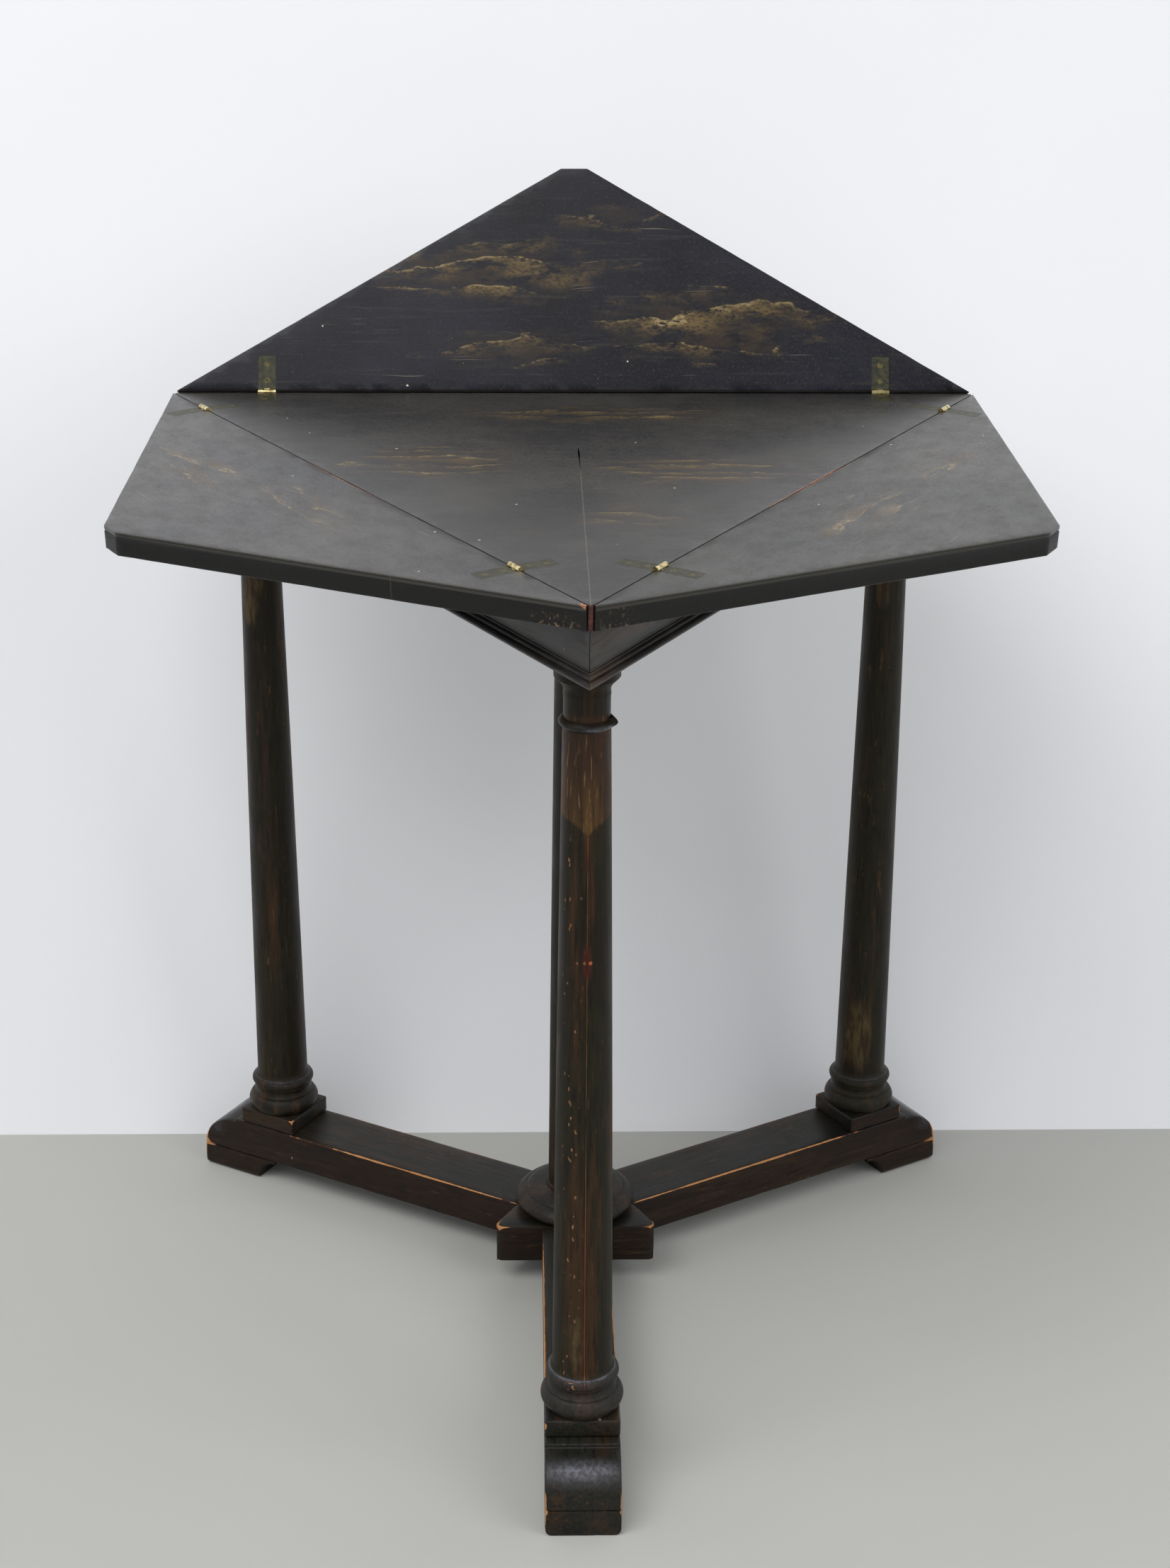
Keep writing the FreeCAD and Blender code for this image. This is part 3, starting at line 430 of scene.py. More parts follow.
def clouds(vector, scale, detail=4.0, roughness=0.5, distortion=0.0):
    """Noise of one scale, or of three to draw it out along an axis."""
    if not isinstance(scale, float):
        vector, scale = stretch(vector, scale), 1.0
    values = {"Vector": vector, "Scale": scale, "Detail": detail, "Roughness": roughness,
              "Distortion": distortion}
    return add(vector.tree, "ShaderNodeTexNoise", values)


def step(amount, low, high, finish=1.0):
    """Smooth step from 0 at low to finish at high."""
    values = {"Value": amount, "From Min": low, "From Max": high, "To Max": finish}
    return add(amount.tree, "ShaderNodeMapRange", values, interpolation_type="SMOOTHSTEP")


def linear(tone):
    """A wire as it is, or a screen colour from 0 to 255 as the linear light that a shader mixes."""
    if isinstance(tone, Wire):
        return tone
    shares = [channel / 255 for channel in tone]
    light = [share / 12.92 if share < 0.04045 else ((share + 0.055) / 1.055) ** 2.4 for share in shares]
    return *light, 1.0


def mix(share, first, second):
    values = {0: share, 6: linear(first), 7: linear(second)}
    return add(share.tree, "ShaderNodeMix", values, 2, data_type="RGBA")


def coat(tone, *layers):
    """Lay colours over a tone one after another, each with the share that it covers."""
    for share, shade in layers:
        tone = mix(share, tone, shade)
    return tone


def vector_math(operation, first, second, output=0):
    return add(first.tree, "ShaderNodeVectorMath", {0: first, 1: second}, output, operation=operation)


def warp(vector, scale, amount):
    """Coordinates pushed about by noise, so that what is drawn on them has ragged limits."""
    cloud = {"Vector": vector, "Scale": scale, "Detail": 3.0}
    push = vector_math("SUBTRACT", add(vector.tree, "ShaderNodeTexNoise", cloud, "Color"), (0.5, 0.5, 0.5))
    push = add(vector.tree, "ShaderNodeVectorMath", {0: push, "Scale": amount}, operation="SCALE")
    return vector_math("ADD", vector, push)


def specks(vector, scale, size, share):
    """Small dots in some of the cells of a Voronoi pattern."""
    cells = add(vector.tree, "ShaderNodeTexVoronoi", {"Vector": vector, "Scale": scale}, "Distance")
    red = add(vector.tree, "ShaderNodeSeparateColor", {0: cells.output("Color")})
    return step(cells, size, size * 0.6) * step(red, 1 - share, 1 - share + 0.01)


def start_finish(name):
    """A new material, as its node tree and its main shader."""
    finish = bpy.data.materials.new(name)
    finish.use_nodes = True
    finishes[name] = finish
    return finish.node_tree, finish.node_tree.nodes["Principled BSDF"]


def relief(shader, height, depth, strength=1.0):
    """Bump the surface by a height from 0 to 1, of a depth in metres."""
    values = {"Height": height, "Strength": strength, "Distance": depth}
    feed(shader, "Normal", add(height.tree, "ShaderNodeBump", values))


def set_surface(tree, share, first, second):
    """Show a mix of two shaders."""
    both = add(tree, "ShaderNodeMixShader", {0: share, 1: first, 2: second})
    feed(tree.nodes["Material Output"], "Surface", both)


# %% [markdown]
# ## Worn stain
# Four finishes share one recipe: a dark stain that lies unevenly, streaks along the grain, brown
# where it is thin, and bare wood on the arrises and in the rubbed places. They differ in colour, in
# how the grain is stretched and in how far the wear reaches, so one function makes them all.

# %% Bare wood, and the marks on the front leg
NECK_TOP = 640 * MM
KNOCK_UP = 454 * MM
FRONT_SEED = 11


def bare_share(tree, place, reach, ragged, kept):
    """How bare the wood is, from the distance to the arris, with ragged limits.

    Kept is how far the finish holds out where nothing rubs it, in millimetres.
    """
    drift = clouds(place, (14, 14, 14), 3.0)
    fray = clouds(place, (160, 160, 160), 3.0, 0.6)
    near = stored(tree, "arris") + (drift - 0.5) * (ragged * 4) + (fray - 0.5) * (ragged * 2)
    near = near + kept - stored(tree, "rubbed") * ((reach + kept) * 2)
    return step(near, reach, reach * 0.35)


def golden_neck(tree, tone, place, streaks, fine):
    """Under the front leg's ring the stain is gone: golden above a pointed edge, browner higher up."""
    spread = (stored(tree, "turn") / 5.4) ** 0.38
    edge = spread * (10 * MM) + 546 * MM + (fine - 0.5) * (7 * MM)
    height = part(place, "Z")
    clear = step(height - edge, -1 * MM, 3 * MM) * step(height, NECK_TOP, NECK_TOP - 3 * MM)
    gold = mix(step(height, 612 * MM, 550 * MM), (56, 37, 24), (92, 66, 32))
    return coat(tone, (clear * step(streaks, 0.2, 0.6, 0.9), (52, 33, 21)),
                (clear * (step(streaks, 0.36, 0.62) * 0.8), gold),
                (clear * step(fine, 0.55, 0.66, 0.7), (26, 18, 11)),
                (clear * step(fine, 0.4, 0.31, 0.6), (128, 102, 64)))


def drying_check(tree, tone, place, streaks, fine):
    """Thin line of the drying check, brown inside and redder beside it, and a bright knock across it."""
    off = stored(tree, "split") + (fine - 0.5) * 0.9
    glow = step(off, 3.5, 0.4, 0.6) * step(streaks, 0.46, 0.62)
    line = step(off, 0.5, 0.2) * (step(streaks, 0.34, 0.56, 0.65) + 0.2)
    turn = stored(tree, "turn")
    across = part(place, "X")
    away = part(place, "Z") - KNOCK_UP
    bruise = step(abs(away), 18 * MM, 5 * MM, 0.7) * step(turn + fine * 2.0, 5.4, 2.6)
    tone = coat(tone, (glow, (62, 24, 14)), (line, (122, 92, 62)), (bruise, (72, 28, 20)))
    ahead = step(turn, 9.0, 7.0)
    for out, size, shade in ((3.4, 1.6, (178, 98, 60)), (-0.9, 1.3, (140, 86, 48))):
        wide = (across - (FRONT_SEED * 0.37 + out * MM)) / (size * MM)
        high = away / (1.2 * size * MM)
        apart = wide ** 2.0 + high ** 2.0 + fine * 0.6
        tone = mix(ahead * step(apart, 1.2, 0.5, 0.85), tone, shade)
    return tone


# %% Stained wood
RAW_LIGHT = (214, 160, 104)
RAW_DEEP = (150, 92, 52)


def stained_wood(name, shades, grain, wear, gloss, browns, nicked, sides=None, front=False):
    """Shades are deep, dark, olive and brown; wear is reach, ragged and kept in millimetres."""
    tree, shader = start_finish(name)
    place = stored(tree, "bench", "Vector")
    deep, dark, olive, brown = shades
    streaks = clouds(place, grain, 6.0, 0.65, 0.3)
    fine = clouds(place, [size * 7 for size in grain], 4.0, 0.65)
    broad = clouds(place, [size * 0.35 for size in grain], 4.0, 0.6)
    haze = clouds(place, 16.0, 5.0, 0.6)
    tone = mix(step(haze, 0.42, 0.6), dark, olive)
    if sides:
        flank = step(stored(tree, "facing"), 0.75, 0.25)
        tone = mix(flank, tone, mix(haze, deep, sides))
    thin = clouds(place, [230 if size > 9 else 45 for size in grain], 5.0, 0.7)
    thinned = streaks * 0.9 + fine * 0.4 - 0.65 + stored(tree, "thinned")
    golden = mix(step(thin, 0.4, 0.62), (50, 34, 20), (82, 68, 41))
    tone = coat(tone, (step(streaks * 0.5 + broad * 0.5, *browns), brown),
                (step(fine, 0.5, 0.66, 0.75), deep), (step(fine, 0.4, 0.26, 0.3), (96, 76, 56)),
                (step(thin, 0.6, 0.7, 0.55) * step(haze, 0.38, 0.58), (98, 66, 38)),
                (step(thinned, 0.42, 0.75, 0.85), golden))
    if front:
        tone = golden_neck(tree, tone, place, streaks, fine)
        tone = drying_check(tree, tone, place, streaks, fine)
    # Where polish is high the roughness drops, which is real polish, and the tone is greyed and lightened
    # to a pale bluish painted highlight.
    polish = stored(tree, "polish")
    painted_highlight = polish ** 2.0 * (step(clouds(place, 300.0, 3.0, 0.6), 0.4, 0.62, 0.55) + 0.35)
    bare = bare_share(tree, place, *wear)
    frayed = warp(place, 240.0, 4 * MM)
    along_grain = stretch(frayed, [0.4 if size == min(grain) else 1.0 for size in grain])
    crowd = stored(tree, "nicked").reckon("MAXIMUM", step(broad, 0.55, 0.68, nicked))
    nicks = specks(along_grain, 250.0, 0.2, 0.6) * crowd
    tone = coat(tone, (step(polish, 0.0, 0.5, 0.7), (31, 30, 27)), (painted_highlight, (118, 118, 127)),
                (step(stored(tree, "joint"), 0.78, 0.9, 0.85), (16, 13, 14)),
                (step(bare, 0.0, 0.45), (84, 44, 26)),
                (step(bare, 0.45, 0.9), mix(streaks, RAW_DEEP, RAW_LIGHT)),
                (specks(frayed, 60.0, 0.07, 0.06) * 0.6, (170, 160, 140)),
                (nicks, mix(haze, (92, 46, 30), (164, 122, 84))))
    feed(shader, "Base Color", tone)
    feed(shader, "Roughness", step(haze, 0.35, 0.65, 0.14) + bare * 0.22 - polish * 0.16 + gloss)
    shader.inputs["Specular IOR Level"].default_value = 0.23
    relief(shader, fine * 0.7 + streaks, 0.35 * MM, 0.6)


TURNED = ((11, 8, 4), (27, 21, 10), (32, 29, 15), (60, 39, 19))
for name, front in (("stained_turnings", False), ("stained_front_leg", True)):
    stained_wood(name, TURNED, (70, 70, 5), (0.9, 0.4, 1.1), 0.48, (0.50, 0.60, 0.85), 0.5, front=front)
stained_wood("stained_underframe", ((10, 9, 8), (22, 22, 19), (32, 32, 26), (54, 39, 25)), (5, 60, 60),
             (1.2, 0.85, 1.3), 0.38, (0.48, 0.62, 0.75), 0.5, sides=(50, 32, 21))
stained_wood("stained_frame", ((34, 31, 29), (50, 47, 45), (66, 64, 61), (84, 68, 54)), (4, 60, 60),
             (0.5, 0.3, 0.8), 0.40, (0.48, 0.62, 0.7), 0.3)
print("stains made:", sorted(finishes))

# %% [markdown]
# ## Lacquer on the boards
# The boards are lacquered black and rubbed dull. On them lie what is left of some gilding: thin
# ochre wisps in a few patches, drawn here as generic streaks from stretched noise, each held in by a
# soft ragged oval. Fine scratches, dust specks and brown bruises along the arrises do the rest.

# %% Worn gilding and scratches


def oval(place, centre, size):
    """1 inside a ragged oval, falling to 0 at its rim."""
    shift = [-middle / half for middle, half in zip(centre, size)]
    unit = stretch(place, [1 / half for half in size], shift=shift)
    away = add(place.tree, "ShaderNodeVectorMath", {0: unit}, "Value", operation="LENGTH")
    rag = clouds(place, (26, 60, 1), 5.0, 0.6)
    return step(away + (rag - 0.5) * 1.7, 1.0, 0.35)


def gild(flat, tone, patches):
    """Layered strokes: each is bright along its upper edge and fades to brown below it."""
    swing = clouds(flat, (7, 20, 1), 4.0, 0.5)
    across = part(flat, "Y")
    layer = (across * 46.0 + swing * 4.0).reckon("FRACT")
    worn = clouds(flat, (30, 75, 1), 7.0, 0.7)
    flecks = clouds(flat, (260, 420, 1), 3.0, 0.6)
    for centre, size, strength in patches:
        inside = oval(flat, (*centre, 0), (*size, 1)) * strength
        smoke = inside * step(worn, 0.38, 0.58, 0.75)
        body = step(layer, 0.2, 0.9) * step(worn, 0.4, 0.56) * step(flecks, 0.3, 0.58)
        rim = step(layer, 0.86, 0.95) * step(worn + flecks * 0.5, 0.7, 0.86)
        tone = coat(tone, (smoke, (56, 45, 32)), (inside * body, (108, 89, 54)),
                    (inside * rim, (150, 132, 92)))
    return tone


def scratched(flat, tone, turn, share):
    """Short fine scratches in one direction, kept to where a slow noise lets them be."""
    bent = warp(flat, 9.0, 0.02)
    lines = clouds(stretch(bent, (12, 620, 1), turn=(0, 0, turn)), 1.0, 2.0)
    where = clouds(flat, 17.0, 2.0)
    marks = step(lines, 0.68, 0.74, share) * step(where, 0.48, 0.62)
    return mix(marks, tone, (132, 122, 104))


# %% Black lacquer


def lacquer(name, high, patches, ground, bloom, bruise=(58, 51, 42), sheen=0.42, split=False, seam_shadow=0.0):
    """High is the height of the board's face on the bench; seam_shadow is how far the painted shadow comes
    out of the seam.
    """
    tree, shader = start_finish(name)
    place = stored(tree, "bench", "Vector")
    flat = stretch(place, (1, 1, 0))
    wide = clouds(place, 7.0, 6.0, 0.62)
    mottle = clouds(place, (32, 52, 52), 9.0, 0.75)
    grain = clouds(place, (9, 190, 190), 6.0, 0.65, 0.2)
    speckle = clouds(place, 420.0, 4.0, 0.75)
    tone = coat(ground, (step(wide, 0.38, 0.66), bloom), (step(mottle, 0.46, 0.7, 0.38), bruise),
                (step(grain, 0.54, 0.72, 0.4), (66, 62, 54)),
                (step(speckle, 0.52, 0.74, 0.45), (78, 74, 66)),
                (step(speckle, 0.46, 0.3, 0.6), (12, 12, 14)))
    tone = gild(flat, tone, patches)
    if split:
        across, along = [part(warp(flat, 30.0, 1 * MM), axis) for axis in "XY"]
        line = step(abs(across), 0.55 * MM, 0.2 * MM) * step(along, -0.03, -0.06, 0.6)
        tone = mix(line, tone, (104, 96, 78))
    tone = scratched(flat, scratched(flat, tone, 0.9, 0.5), -0.35, 0.4)
    # Under the top arris the side faces get a paler strip and a dark line. Below the scribed line they are
    # painted near-black, painted shade that keeps the sides darker than the faces.
    depth = high - part(place, "Z")
    shaded_sides = step(depth, 3.6 * MM, 4.6 * MM)
    under = mix(step(mottle, 0.4, 0.7), (6, 5, 4), (15, 13, 10))
    tone = coat(tone, (step(depth, 0.8 * MM, 1.4 * MM, 0.7), (56, 53, 48)),
                (step(abs(depth - 1.8 * MM), 0.5 * MM, 0.2 * MM, 0.8), (14, 13, 12)), (shaded_sides, under))
    # On the leaves a pale line runs along the arrises, away from the hinged edge: worn lacquer and a
    # painted highlight.
    if not split:
        edge = step(stored(tree, "arris") + speckle * 0.6, 1.2, 0.5, 0.55)
        tone = mix(edge * step(part(place, "Y"), 3 * MM, 8 * MM), tone, (92, 89, 83))
    bare = bare_share(tree, place, 0.45, 0.35, 0.7)
    wood = mix(step(speckle, 0.35, 0.65), (84, 40, 28), (176, 124, 90))
    frayed = warp(flat, 300.0, 2 * MM)
    chips = step(clouds(place, 330.0, 5.0, 0.7), 0.54, 0.62) * stored(tree, "nicked")
    corner = stored(tree, "joint") * step(depth, 0.6 * MM, 1.2 * MM)
    tone = coat(tone, (step(bare, 0.0, 0.5), (82, 44, 28)), (step(bare, 0.5, 0.9), wood),
                (specks(frayed, 42.0, 0.045, 0.16), (206, 200, 186)),
                (specks(frayed, 95.0, 0.06, 0.14) * 0.6, (128, 112, 88)), (chips, (134, 108, 80)),
                (corner, mix(step(mottle, 0.4, 0.6), (46, 22, 22), (98, 54, 44))))
    feed(shader, "Base Color", tone)
    patchy = step(mottle, 0.35, 0.68, 0.1) + shaded_sides * 0.2 + step(speckle, 0.35, 0.65, 0.1)
    feed(shader, "Roughness", patchy + 0.3)
    shader.inputs["Specular IOR Level"].default_value = sheen
    relief(shader, speckle * 0.25 + (grain * 0.5 + mottle), 0.3 * MM, 0.4)
    # The seam faces take a dark matt diffuse finish instead of the lacquer: raw edge and dirt, and painted
    # shade in the seam. On the rear leaf a dark band out to seam_shadow millimetres from the hinged edge
    # is painted shadow of the top's rear edge.
    inside = step(stored(tree, "seam"), 1.1, 0.9) * step(depth, 0.25 * MM, 0.5 * MM)
    if seam_shadow:
        ragged = stored(tree, "seam") + mottle * 0.8
        inside = inside.reckon("MAXIMUM", step(ragged, seam_shadow + 0.8, seam_shadow - 0.2, 0.85))
    seam_dirt_and_shade = add(tree, "ShaderNodeBsdfDiffuse", {"Color": mix(mottle, (24, 22, 20), (36, 32, 29))})
    set_surface(tree, inside, Wire(shader.outputs[0]), seam_dirt_and_shade)


# The ground and bloom tones are painted over one black lacquer: lighter on the top and side leaves as
# painted sheen, darker and bluer on the upright rear leaf as painted shade.
lacquer("lacquered_boards", TOP_HEIGHT,
        [((-0.115, -0.035), (0.075, 0.055), 0.75), ((0.090, -0.060), (0.090, 0.050), 0.75),
         ((0.020, 0.120), (0.130, 0.032), 0.6), ((0.035, -0.190), (0.05, 0.04), 0.4)],
        (42, 41, 41), (60, 58, 54), split=True)
lacquer("lacquer_left", -HINGE_RISE,
        [((-0.03, 0.055), (0.09, 0.030), 0.5), ((0.11, 0.080), (0.08, 0.030), 0.5)],
        (47, 47, 48), (68, 65, 62))
lacquer("lacquer_right", -HINGE_RISE,
        [((0.04, 0.065), (0.10, 0.034), 0.55), ((-0.12, 0.060), (0.08, 0.030), 0.45)],
        (44, 44, 42), (62, 61, 56))
lacquer("lacquer_rear", -HINGE_RISE,
        [((0.115, 0.058), (0.110, 0.036), 1.0), ((-0.070, 0.104), (0.120, 0.030), 0.9),
         ((-0.060, 0.038), (0.080, 0.020), 0.6), ((0.03, 0.150), (0.05, 0.016), 0.5)],
        (13, 13, 23), (27, 27, 38), (38, 35, 38), 0.26, seam_shadow=2.3)
print("lacquers made:", [name for name in finishes if name.startswith("lacquer")])

# %% [markdown]
# ## Metal and bare wood
# The brass has gone olive where it lies flat in the boards and stays bright on the knuckles, which
# sleeves polish. The finish tells them apart by the distance from the hinge's own axis: how far a
# point lies out of the seam is a dot product with the direction that the seam faces.

# %% Brass, iron and unstained wood


def brass(side):
    """Olive tarnish, and bright metal near the line of a seam's hinges."""
    tree, shader = start_finish("brass_" + side)
    here = add(tree, "ShaderNodeTexCoord", output="Object")
    out = vector_math("DOT_PRODUCT", here, polar(SIDE_ANGLES[side], 1.0), "Value") - SEAM_OUT
    height = part(here, "Z") - (TOP_HEIGHT + HINGE_RISE)
    gap = (out * out + height * height).reckon("SQRT")
    bloom = clouds(here, 260.0, 4.0, 0.6)
    fine = clouds(here, 1400.0, 3.0, 0.6)
    tarnish = mix(step(bloom, 0.35, 0.65), (36, 38, 27), (62, 60, 37))
    shine = mix(step(bloom, 0.3, 0.6), (122, 104, 62), (216, 200, 146))
    knuckle = step(gap, 3.4 * MM, 2.5 * MM)
    feed(shader, "Base Color", mix(knuckle, tarnish, shine))
    feed(shader, "Roughness", step(fine + knuckle, 1.6, 0.2, 0.55))
    feed(shader, "Metallic", knuckle * 0.6 + 0.35)
    relief(shader, fine, 0.12 * MM, 0.5)


def plain_finish(name, dark, light, scale, rough, metal, depth, grain=(1, 1, 1)):
    """Cloudy two-colour finish for what is hardly seen."""
    tree, shader = start_finish(name)
    here = stretch(add(tree, "ShaderNodeTexCoord", output="Object"), grain)
    wide = clouds(here, scale, 6.0, 0.6, 0.3)
    fine = clouds(here, scale * 7, 4.0, 0.6)
    tone = mix(step(wide, 0.35, 0.68), dark, light)
    feed(shader, "Base Color", mix(step(fine, 0.55, 0.75, 0.3), tone, dark))
    feed(shader, "Roughness", fine * 0.25 + rough)
    shader.inputs["Metallic"].default_value = metal
    relief(shader, fine, depth, 0.5)


for side_name in SIDE_ANGLES:
    brass(side_name)
plain_finish("bare_inner_wood", (92, 66, 42), (140, 106, 70), 12.0, 0.55, 0.0, 0.3 * MM, (1, 9, 1))
plain_finish("brass_screws", (58, 54, 34), (112, 100, 60), 420.0, 0.40, 0.5, 0.06 * MM)
plain_finish("iron_fixings", (44, 40, 38), (92, 70, 54), 220.0, 0.45, 0.8, 0.1 * MM)
OLD_WOOD = ("corner_block", "frame_bearer", "turntable_disc")
for node, solid in frame["nodes"].items():
    if node.startswith("hinge_") and "screws" not in node:
        finish = "brass_" + next(side for side in SIDE_ANGLES if side in node)
    elif node.startswith("hinge_screws"):
        finish = "brass_screws"
    elif node.startswith(OLD_WOOD):
        finish = "bare_inner_wood"
    else:
        finish = "iron_fixings"
    solid.data.materials.clear()
    solid.data.materials.append(finishes[finish])
print("finishes made:", len(finishes))

# %% [markdown]
# ## Hub, arms and feet
# The underframe is three arms tenoned into a three-sided block. The arm's side view carries the
# moulded roll of its foot, so it is drawn as that side view and extruded by the arm's width.
# One arm and one pad are modelled and copied, and each copy is worn in its own way.

# %% Hub block
HUB_OUT = 42.5 * MM
HUB_FACE = 134 * MM
corners = [polar(angle, HUB_OUT, side * HUB_FACE / 2, hub_low.z)
           for angle in sorted(LEG_ANGLES.values()) for side in (-1, 1)]
hub = raise_outline("hub", corners, (0, 0, hub_high.z - hub_low.z))
hub_arrises = crisp_edges(hub)
bevel(hub, 4 * MM, 5, lambda spot: abs(spot.z - (hub_low.z + hub_high.z) / 2) < MM)
bevel(hub, 2 * MM, 4)
slice_up(hub, 5 * MM)
hub_rubs = [(polar(angle, HUB_OUT, side * HUB_FACE / 2, hub_high.z), (14, 14, 8), 0.5)
            for angle in LEG_ANGLES.values() for side in (-1, 1)]
lay_on_bench(hub, hub_arrises, 0.9 * MM, reach=4, seed=2, rubs=hub_rubs)
settle(hub, "hub_block", "stained_underframe")

# %% One arm with the roll of its foot
QUIRK = 3 * MM
ROLL = ARM_TOP - QUIRK - ARM_BOTTOM
ROLL_FLAT = 4 * MM
ARC_STEPS = 14


def bend(centre, radius, first, last, steps=ARC_STEPS):
    """Points along an arc in the side view, from one angle to another."""
    angles = [radians(first + (last - first) * number / steps) for number in range(steps + 1)]
    return [(centre[0] + radius * cos(turn), centre[1] + radius * sin(turn)) for turn in angles]


quirk_out = FOOT_OUT - ROLL - ROLL_FLAT
roll_centre = (FOOT_OUT - ROLL, ARM_BOTTOM)
arm_profile = [(HUB_OUT, ARM_BOTTOM), *bend(roll_centre, ROLL, 0, 90),
               (quirk_out, ARM_TOP - QUIRK), (quirk_out, ARM_TOP), (HUB_OUT, ARM_TOP)]
side_view = [Vector((out, -ARM_WIDTH / 2, up)) for out, up in arm_profile]
arm = raise_outline("arm", side_view, (0, ARM_WIDTH, 0))
arm_arrises = crisp_edges(arm)
bevel(arm, 1.3 * MM)
slice_up(arm, 6 * MM)
print("arm:", len(arm.data.vertices), "points")

# %% Pad under the foot
PAD_COVE = 20 * MM
PAD_ROUND = 5.5 * MM
pad_in = FOOT_OUT - PAD_LENGTH
pad_half = ARM_WIDTH / 2
under = [*bend((PAD_ROUND - pad_half, PAD_ROUND), PAD_ROUND, 180, 270, 8),
         *bend((pad_half - PAD_ROUND, PAD_ROUND), PAD_ROUND, 270, 360, 8)]
front_view = [Vector((pad_in - PAD_COVE, side, up))
              for side, up in [(-pad_half, ARM_BOTTOM), *under, (pad_half, ARM_BOTTOM)]]
pad = raise_outline("foot_pad", front_view, (PAD_LENGTH + PAD_COVE, 0, 0))
select_none()
edit.primitive_cylinder_add(vertices=96, radius=PAD_COVE, depth=2 * ARM_WIDTH,
                                    location=(pad_in - PAD_COVE, 0, 0), rotation=(pi / 2, 0, 0))
cut_away(pad, bpy.context.object)
pad_arrises = crisp_edges(pad)
bevel(pad, 0.6 * MM)
slice_up(pad, 4 * MM)
print("pad:", len(pad.data.vertices), "points")

# %% Plinth under the leg
plinth_profile = [Vector((LEG_OUT + out * ARM_WIDTH / 2, side * ARM_WIDTH / 2, ARM_TOP))
                  for out, side in ((-1, -1), (1, -1), (1, 1), (-1, 1))]
plinth = raise_outline("plinth", plinth_profile, (0, 0, LEG_BOTTOM - ARM_TOP))
plinth_arrises = crisp_edges(plinth)
bevel(plinth, 1.6 * MM)
slice_up(plinth, 4 * MM)
print("plinth:", len(plinth.data.vertices), "points")

# %% Copy the three to every leg
half = ARM_WIDTH / 2
arm_rubs = [((along, side * half, ARM_TOP), (130, 6, 4), 0.46)
            for side in (-1, 1) for along in (0.13, 0.21)]
foot_rubs = [((FOOT_OUT, side * half, ARM_BOTTOM + 6 * MM), (16, 4, 20), strength)
             for side, strength in ((-1, 0.58), (1, 0.40))]
chip = [((LEG_OUT + half, -half, LEG_BOTTOM - 5 * MM), (9, 7, 6), 0.8),
        ((LEG_OUT - half, half, LEG_BOTTOM), (8, 8, 7), 0.5)]
KIT = ((arm, arm_arrises, "stretcher_", arm_rubs + foot_rubs, 0.6 * MM),
       (pad, pad_arrises, "foot_pad_", foot_rubs, 0.7 * MM),
       (plinth, plinth_arrises, "plinth_", chip, 0.9 * MM))


def copy_of(piece, name):
    """Copy with a mesh of its own."""
    close_edit()
    twin = piece.copy()
    twin.data = piece.data.copy()
    twin.name = name
    bpy.context.scene.collection.objects.link(twin)
    return twin


for seed, (leg_name, angle) in enumerate(LEG_ANGLES.items(), start=3):
    for pattern, arrises, prefix, rubs, depth in KIT:
        twin = copy_of(pattern, "worn_" + prefix + leg_name)
        lay_on_bench(twin, arrises, depth, 3, seed, rubs)
        spots = points_of(twin)
        # The upper roll of each foot gets a band of real polish and painted highlight, strongest across
        # the middle of the arm.
        upper_round = np.clip(1 - np.abs(spots[:, 0] - FOOT_OUT + 0.45 * ROLL) / (0.40 * ROLL), 0, 1)
        middle = 1 - 0.5 * (spots[:, 1] / half) ** 2
        keep_values(twin, polish=middle * upper_round * (spots[:, 2] > ARM_BOTTOM + 0.5 * ROLL))
        place(twin, turn_z(angle))
        settle(twin, prefix + leg_name, "stained_underframe")
for pattern in (arm, pad, plinth):
    bpy.data.objects.remove(pattern)

# %% [markdown]
# ## Turned legs and column
# A turner works a square stick on the lathe to a profile of beads, hollows and fillets. The same
# profile, drawn as a chain from the bottom up, is spun round the leg's axis. Small fillets between
# the members matter more than they seem: they catch the light and make the turning read as crisp.

# %% The turner's profile
NECK = 16.5
NECK_DOWN = 49


def swell(low, high, depth, steps=8):
    """Points between two, standing out by a depth at the middle, or in if it is negative."""
    (low_out, low_up), (high_out, high_up) = low, high
    points = []
    for number in range(1, steps):
        share = number / steps
        lift = depth * sin(pi * share)
        points.append((low_out + (high_out - low_out) * share + lift,
                       low_up + (high_up - low_up) * share))
    return [low, *points, high]


def base_profile(bottom, torus, torus_up, torus_lift, ring):
    """Torus, fillet, scotia, ring and fillet above it, from the bottom up, in millimetres."""
    scotia = ring - 1.3
    up = bottom + torus_up
    return [*swell((torus - torus_lift, bottom), (torus - torus_lift, up), torus_lift, 12),
            (scotia + 0.6, up + 0.2), (scotia + 0.6, up + 1.6),
            *swell((scotia, up + 1.8), (scotia - 0.2, up + 9), -1.6),
            (ring - 1.2, up + 9.4),
            *swell((ring - 1.5, up + 10), (ring - 1.5, up + 17), 1.5),
            (ring - 2.4, up + 17.4), (ring - 2.4, up + 18)], up + 18


def capital_profile(top):
    """Neck, hollow flare and square-edged cap, from the shaft's shoulder up, in millimetres."""
    return [(NECK, top - NECK_DOWN), (NECK, top - 26),
            *swell((NECK + 0.3, top - 25), (22.4, top - 13.2), -2.4),
            (22.4, top - 12.4), (23.5, top - 12), (23.5, top - 0.6), (22.9, top)]


